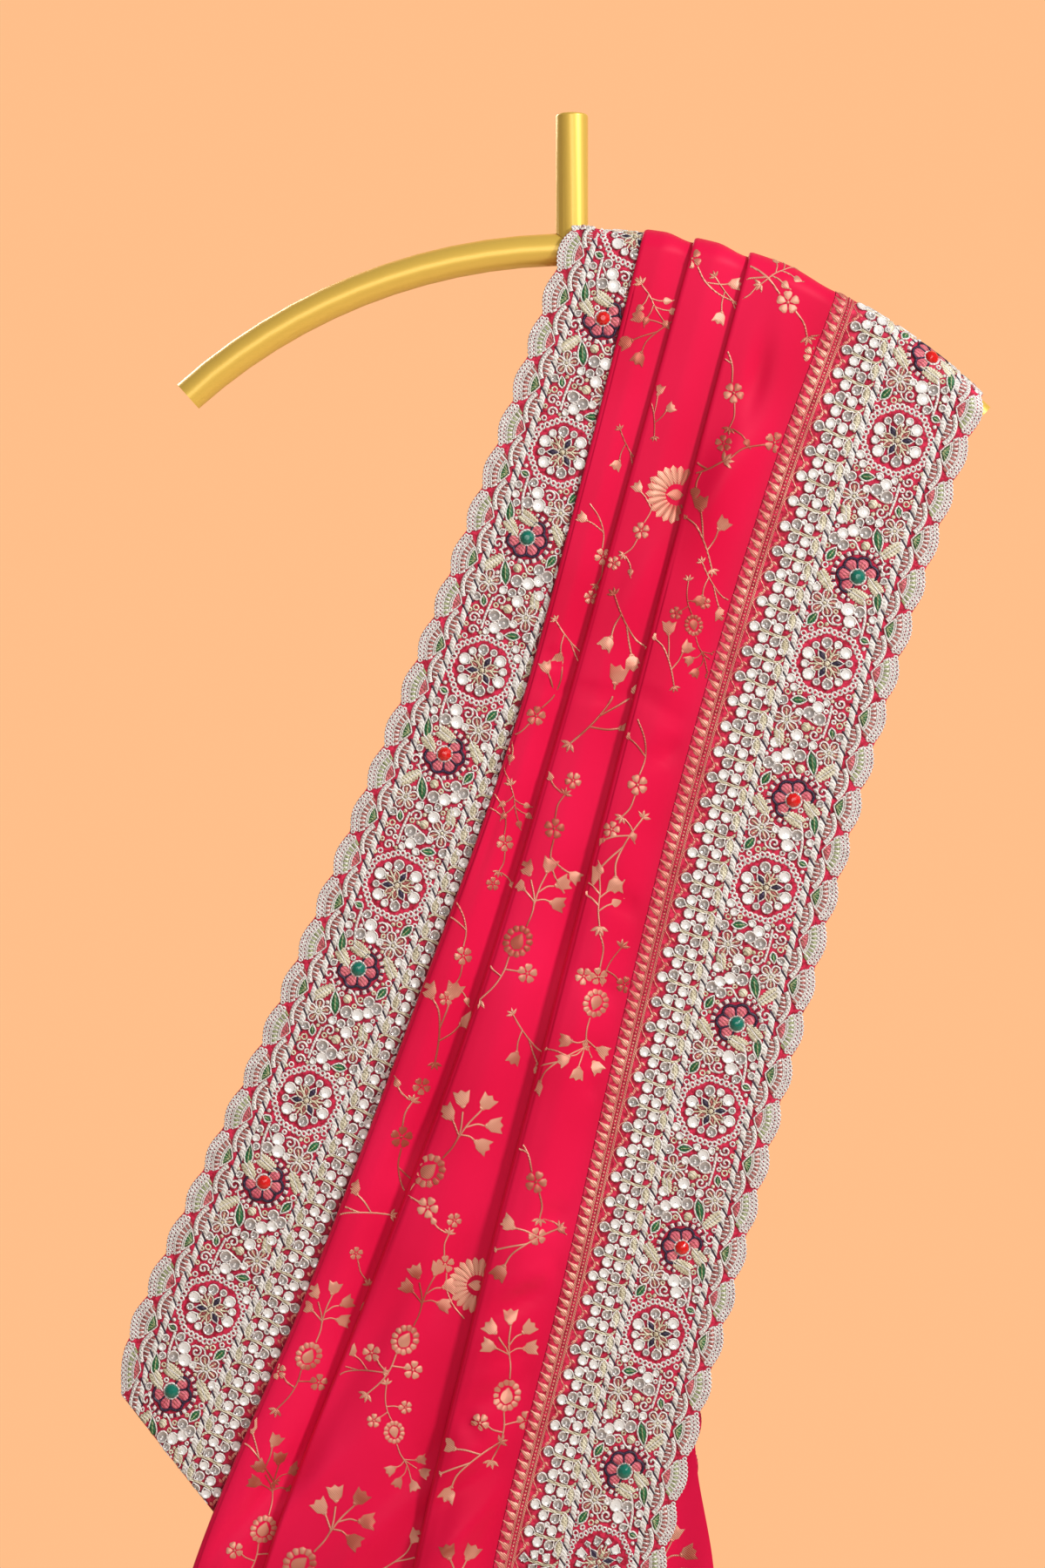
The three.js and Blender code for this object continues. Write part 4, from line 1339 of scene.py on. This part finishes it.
# Place across and up, angle of growth, kind and size.
FRONT_SPRAYS = (
    (38, -96, -60, "buds", 0.7), (47, -122, 205, "tulips", 0.8), (32, -188, -72, "tulips", 0.65),
    (17, -246, 100, "blooms", 0.7), (-1, -293, -62, "tulips", 0.7), (-20, -334, 60, "blooms", 0.8),
    (-34, -372, -80, "buds", 0.6), (-37, -404, 100, "blooms", 0.7),
    (-60, -466, 95, "blooms", 0.75), (-73, -506, 75, "tulips", 0.95),
    (-94, -566, -85, "blooms", 0.9), (-117, -607, 165, "tulips", 0.85),
    (-112, -648, -70, "buds", 0.6), (-145, -686, 62, "branch", 0.75),
    (-172, -742, 110, "tulips", 0.8), (-170, -782, 70, "branch", 0.75),
    (66, -82, -48, "blooms", 0.8), (88, -104, -60, "tulips", 0.75),
    (58, -212, 178, "half_sun", 1.0), (38, -232, 76, "blooms", 0.7), (45, -168, 84, "tulips", 0.6),
    (30, -284, -75, "tulips", 0.9), (53, -303, 95, "tulips", 0.75), (15, -334, 36, "tulips", 1.1),
    (-10, -396, -85, "blooms", 0.85), (-30, -458, 60, "branch", 0.85),
    (-24, -512, -65, "tulips", 0.8), (-79, -584, 42, "branch", 0.92),
    (-70, -636, -75, "blooms", 0.75), (-52, -648, 176, "half_sun", 0.95),
    (-92, -677, 58, "branch", 0.8), (-98, -728, -78, "branch", 0.6),
    (-118, -694, 170, "tulips", 0.7), (-150, -800, 40, "branch", 0.92),
    (-98, -800, 20, "tulips", 0.8), (119, -106, 142, "blooms", 0.95), (104, -96, 30, "buds", 0.7),
    (89, -156, 105, "blooms", 0.85), (83, -194, 200, "buds", 0.95),
    (72, -237, 100, "tulips", 0.85), (78, -262, -70, "tulips", 0.7),
    (67, -284, -80, "branch", 0.55), (36, -372, 86, "blooms", 0.85),
    (28, -406, 228, "tulips", 0.95), (15, -450, 88, "buds", 0.85),
    (13, -492, -112, "branch", 0.75), (-8, -524, 200, "tulips", 0.8),
    (-20, -590, 118, "blooms", 0.9), (-25, -624, 196, "tulips", 0.95),
    (-36, -708, 80, "branch", 0.82), (-56, -744, 205, "tulips", 0.95),
    (-30, -768, -60, "blooms", 0.7), (-66, -812, 66, "tulips", 0.9),
)
LOWER_KINDS = ("branch", "blooms", "tulips", "buds", "blooms")
SPRAY_PITCH = 62.0
SPREAD_FROM, BACK_SPRAYS_FROM = -862, -96
INNER_SPRAYS = (
    (88, -745, -60, "blooms", 0.9), (38, -830, 60, "branch", 0.9), (58, -930, -70, "blooms", 0.9),
    (6, -1010, 80, "branch", 0.9), (52, -1110, 100, "tulips", 1.0), (2, -1200, -70, "branch", 0.9),
    (50, -1290, 70, "blooms", 1.0), (84, -1010, -95, "tulips", 0.9), (80, -1190, 85, "buds", 0.9),
)


def spread_sprays(fall, top):
    """Sprays for a length that is the same all down, by turns over the three pleats."""
    rows = []
    for line in (1, 2, 3):
        pitch = SPRAY_PITCH * (1.0 if line == 2 else 1.15)
        for i, z in enumerate(np.arange(top - 18 * line, FALL_END + 30, -pitch)):
            angle = (70, -62, 160, -110, 34)[(i + 2 * line) % 5]
            share = (0.42, 0.6, 0.5)[(i + line) % 3]
            kind = LOWER_KINDS[(i * 2 + line) % 5]
            rows.append((float(fall.x_at(line + share, z)), z, angle, kind, 0.85))
    return rows


def sprays(rows):
    out = Stitches()
    for x, z, angle, kind, size in rows:
        out.take(SPRAYS[kind], x + 1j * z, turn(angle) * size * SPRAY_SIZE)
    return out


def pleat_sprays(fall, line):
    """All the sprays of one pleat on one side, on the outside of its panel."""
    rows = spread_sprays(fall, BACK_SPRAYS_FROM)
    if fall is FRONT:
        rows = [*FRONT_SPRAYS, *spread_sprays(fall, SPREAD_FROM)]
    rows = [row for row in rows if line <= fall.s_at(*np.array([row[:2]]).T)[0] < line + 1]

    def place(places, heights):
        s = fall.s_at(places.real, places.imag)
        zero = np.interp(s, fall.shares, fall.level_with_tube)
        row = (zero - places.imag) / (zero - FALL_END)
        level = panel_level(s - line, row) + ZARI_LIFT + heights
        return fall.place(places.real, places.imag, level)

    def keep(places):
        share = fall.s_at(places.real, places.imag) - line
        inside = (share > 0.03) & (share < (0.985 if line == SEAM - 1 else 1.01))
        return inside & on_cloth(places.real, places.imag)

    face = "front" if fall is FRONT else "back"
    return lay(f"{face}_sprays_{line}", sprays(rows), place, keep, fall.side)


def inner_sprays():
    def place(places, heights):
        return inner_place(places.real, places.imag, ZARI_LIFT + heights)

    def keep(places):
        left, right = inner_edges(places.imag)
        beside = (places.real > left + 1) & (places.real < right - 1)
        return beside & (places.imag > INNER_HEIGHTS[-1] + 5)

    return lay("inner_sprays", sprays(INNER_SPRAYS), place, keep, -1)


# ---- Camera, light and floor

PIXEL = 0.48  # millimetres to a pixel of the 1200 x 1800 view
VIEW_CENTRE = (-27.4, -371.5)
VIEW_HEIGHT = 1800 * PIXEL
CAMERA_AWAY = 2000.0
CLOTH_NEARER = 14.0  # of the cloth that has this scale
SENSOR = 36.0
FLOOR = FALL_END * 0.001 - 1.3  # metres
STAGE_SIZE = 17  # metres


def stand(name, data, place, tilt):
    obj = bpy.data.objects.new(name, data)
    obj.location, obj.rotation_euler = place, tilt
    bpy.context.collection.objects.link(obj)
    return obj


def camera():
    data = bpy.data.cameras.new("camera")
    data.sensor_width = SENSOR
    data.lens = SENSOR * (CAMERA_AWAY - CLOTH_NEARER) / VIEW_HEIGHT
    place = (VIEW_CENTRE[0] * 0.001, -CAMERA_AWAY * 0.001, VIEW_CENTRE[1] * 0.001)
    bpy.context.scene.camera = stand("camera", data, place, (math.pi / 2, 0, 0))


def lamp(name, place, size, power, colour=(1, 1, 1), aim=(-0.03, 0, -0.45)):
    data = bpy.data.lights.new(name, "AREA")
    data.shape, data.size, data.energy, data.color = "DISK", size, power, colour
    x, y, z = np.array(place) - np.array(aim)
    stand(name, data, place, (math.atan2(math.hypot(x, y), z), 0, math.atan2(y, x) + math.pi / 2))


def studio():
    lamp("key", (2.4, -1.9, 1.3), 0.6, 96, (1.0, 0.985, 0.97))
    lamp("front", (0.2, -3.4, 0.2), 1.6, 24, (1.0, 0.98, 0.96))
    lamp("back_key", (-1.6, 2.4, 1.2), 1.6, 40)
    world = bpy.data.worlds.new("world")
    world.use_nodes = True
    background = world.node_tree.nodes["Background"]
    background.inputs["Color"].default_value = (1.0, 0.92, 0.84, 1)
    background.inputs["Strength"].default_value = 0.28
    bpy.context.scene.world = world
    for name, place, tilt, colour in (
        ("floor", (0, 0, FLOOR), 0, (0.90, 0.80, 0.68)),
        ("backdrop", (0, STAGE_SIZE / 2, FLOOR + 7), math.pi / 2, (0.10, 0.05, 0.02)),
    ):
        turned_up = (tilt, 0, 0)
        bpy.ops.mesh.primitive_plane_add(size=STAGE_SIZE, location=place, rotation=turned_up)
        plane = bpy.context.object
        plane.name = name
        paper = material(f"pale_{name}", colour, 0.95)
        plane.data.materials.append(paper)
    glow = (1.0, 0.515, 0.255, 1)
    shade(paper, Specular_IOR_Level=0.0, Emission_Color=glow, Emission_Strength=0.98)


# ---- Sewing the borders on

MEDALLION_HEIGHTS = {RIGHT: -438.7, LEFT: -176.0}  # of one medallion's centre on each front border
REPEATS = range(-2, 13)
FINE_TO = -800.0  # height under which the photo ends
LEFT_WORKED_TO = 1.012  # the line where the first pleat hides the left border
TURNED_WORKED_TO = 0.8 * TURNED_LENGTH
CHARTS = {
    fine: {
        "band": [
            chart_of(slanted_bars, medallion, lambda s, stone=stone: main_band(s, stone), fine=fine)
            for stone in ("red_gem", "teal_gem")
        ],
        "sequin_fans": [chart_of(sequin_fans, woven_strip, fine=fine)] * 2,
        "edging": [
            chart_of(lambda s, pink=pink: edging(s, pink), fine=fine) for pink in (True, False)
        ],
    }
    for fine in (True, False)
}


def embroider(fall, line):
    """A border's three bands of stitches on one fall, each a piece."""
    edge = EDGES[fall.side, line]
    way = -1 if line == LEFT else 1
    front_left = line == LEFT and fall is FRONT
    middle = edge.along(np.array(MEDALLION_HEIGHTS[line]))
    first = middle - REPEAT * round(float(middle) / REPEAT)

    def band(name, start, shift):
        def where(places):
            return edge.flat(places.real, start + way * places.imag)

        def keep(places):
            x, z = where(places)
            kept = on_cloth(x, z)
            if line == LEFT:
                kept &= fall.s_at(x, z) < LEFT_WORKED_TO
            if front_left:
                kept &= past_turn(x, z) < TURNED_WORKED_TO
            return kept

        def place(places, heights):
            x, z = where(places)
            if not front_left:
                return fall.place(x, z, BORDER + heights)
            past = past_turn(x, z)
            x, z = rounded(x, z)
            x, z = (np.where(past > 0, *both) for both in zip(turned(x, z), (x, z)))
            return fall.place(x, z, turned_level(past, BORDER + heights))

        stitches = Stitches()
        for k in REPEATS:
            height = where(np.array([BAND_MIDDLE + 1j * way * k * REPEAT]))[1][0]
            chart = CHARTS[fall is FRONT and height > FINE_TO][name][(k + shift) % 2]
            stitches.take(chart, 1j * way * k * REPEAT)
        face = "front" if fall is FRONT else "back"
        hand = "left" if line == LEFT else "right"
        return lay(f"{face}_{hand}_{name}", stitches, place, keep, fall.side)

    # The edging follows its own lobes, from where the scallops are cut.
    return [band("band", first, 1), band("sequin_fans", first, 0), band("edging", 0, 0)]


camera()
studio()
bpy.context.scene.view_settings.view_transform = "Standard"

SEWN_ON = {line: embroider(FRONT, line) + embroider(BACK, line) for line in (LEFT, RIGHT)}
nodes = ("front_border_left", "back_border_left", "border_turnback")
cloth("left_border_cloth", left_border(), BORDER_GROUND, nodes, SEWN_ON[LEFT])
for line in (1, 2, 3):
    woven_in = [pleat_sprays(fall, line) for fall in (FRONT, BACK)]
    nodes = (f"front_pleat_{line}", f"back_pleat_{line}")
    cloth(f"pleat_{line}_silk", pleat_strip(line), SILK_CLOTH, nodes, woven_in)
nodes = ("front_border_right", "back_border_right")
cloth("right_border_cloth", right_border(), BORDER_GROUND, nodes, SEWN_ON[RIGHT])
nodes = ("inner_silk",)
cloth("inner_silk_cloth", inner_silk(), SILK_CLOTH, nodes, [inner_sprays()])
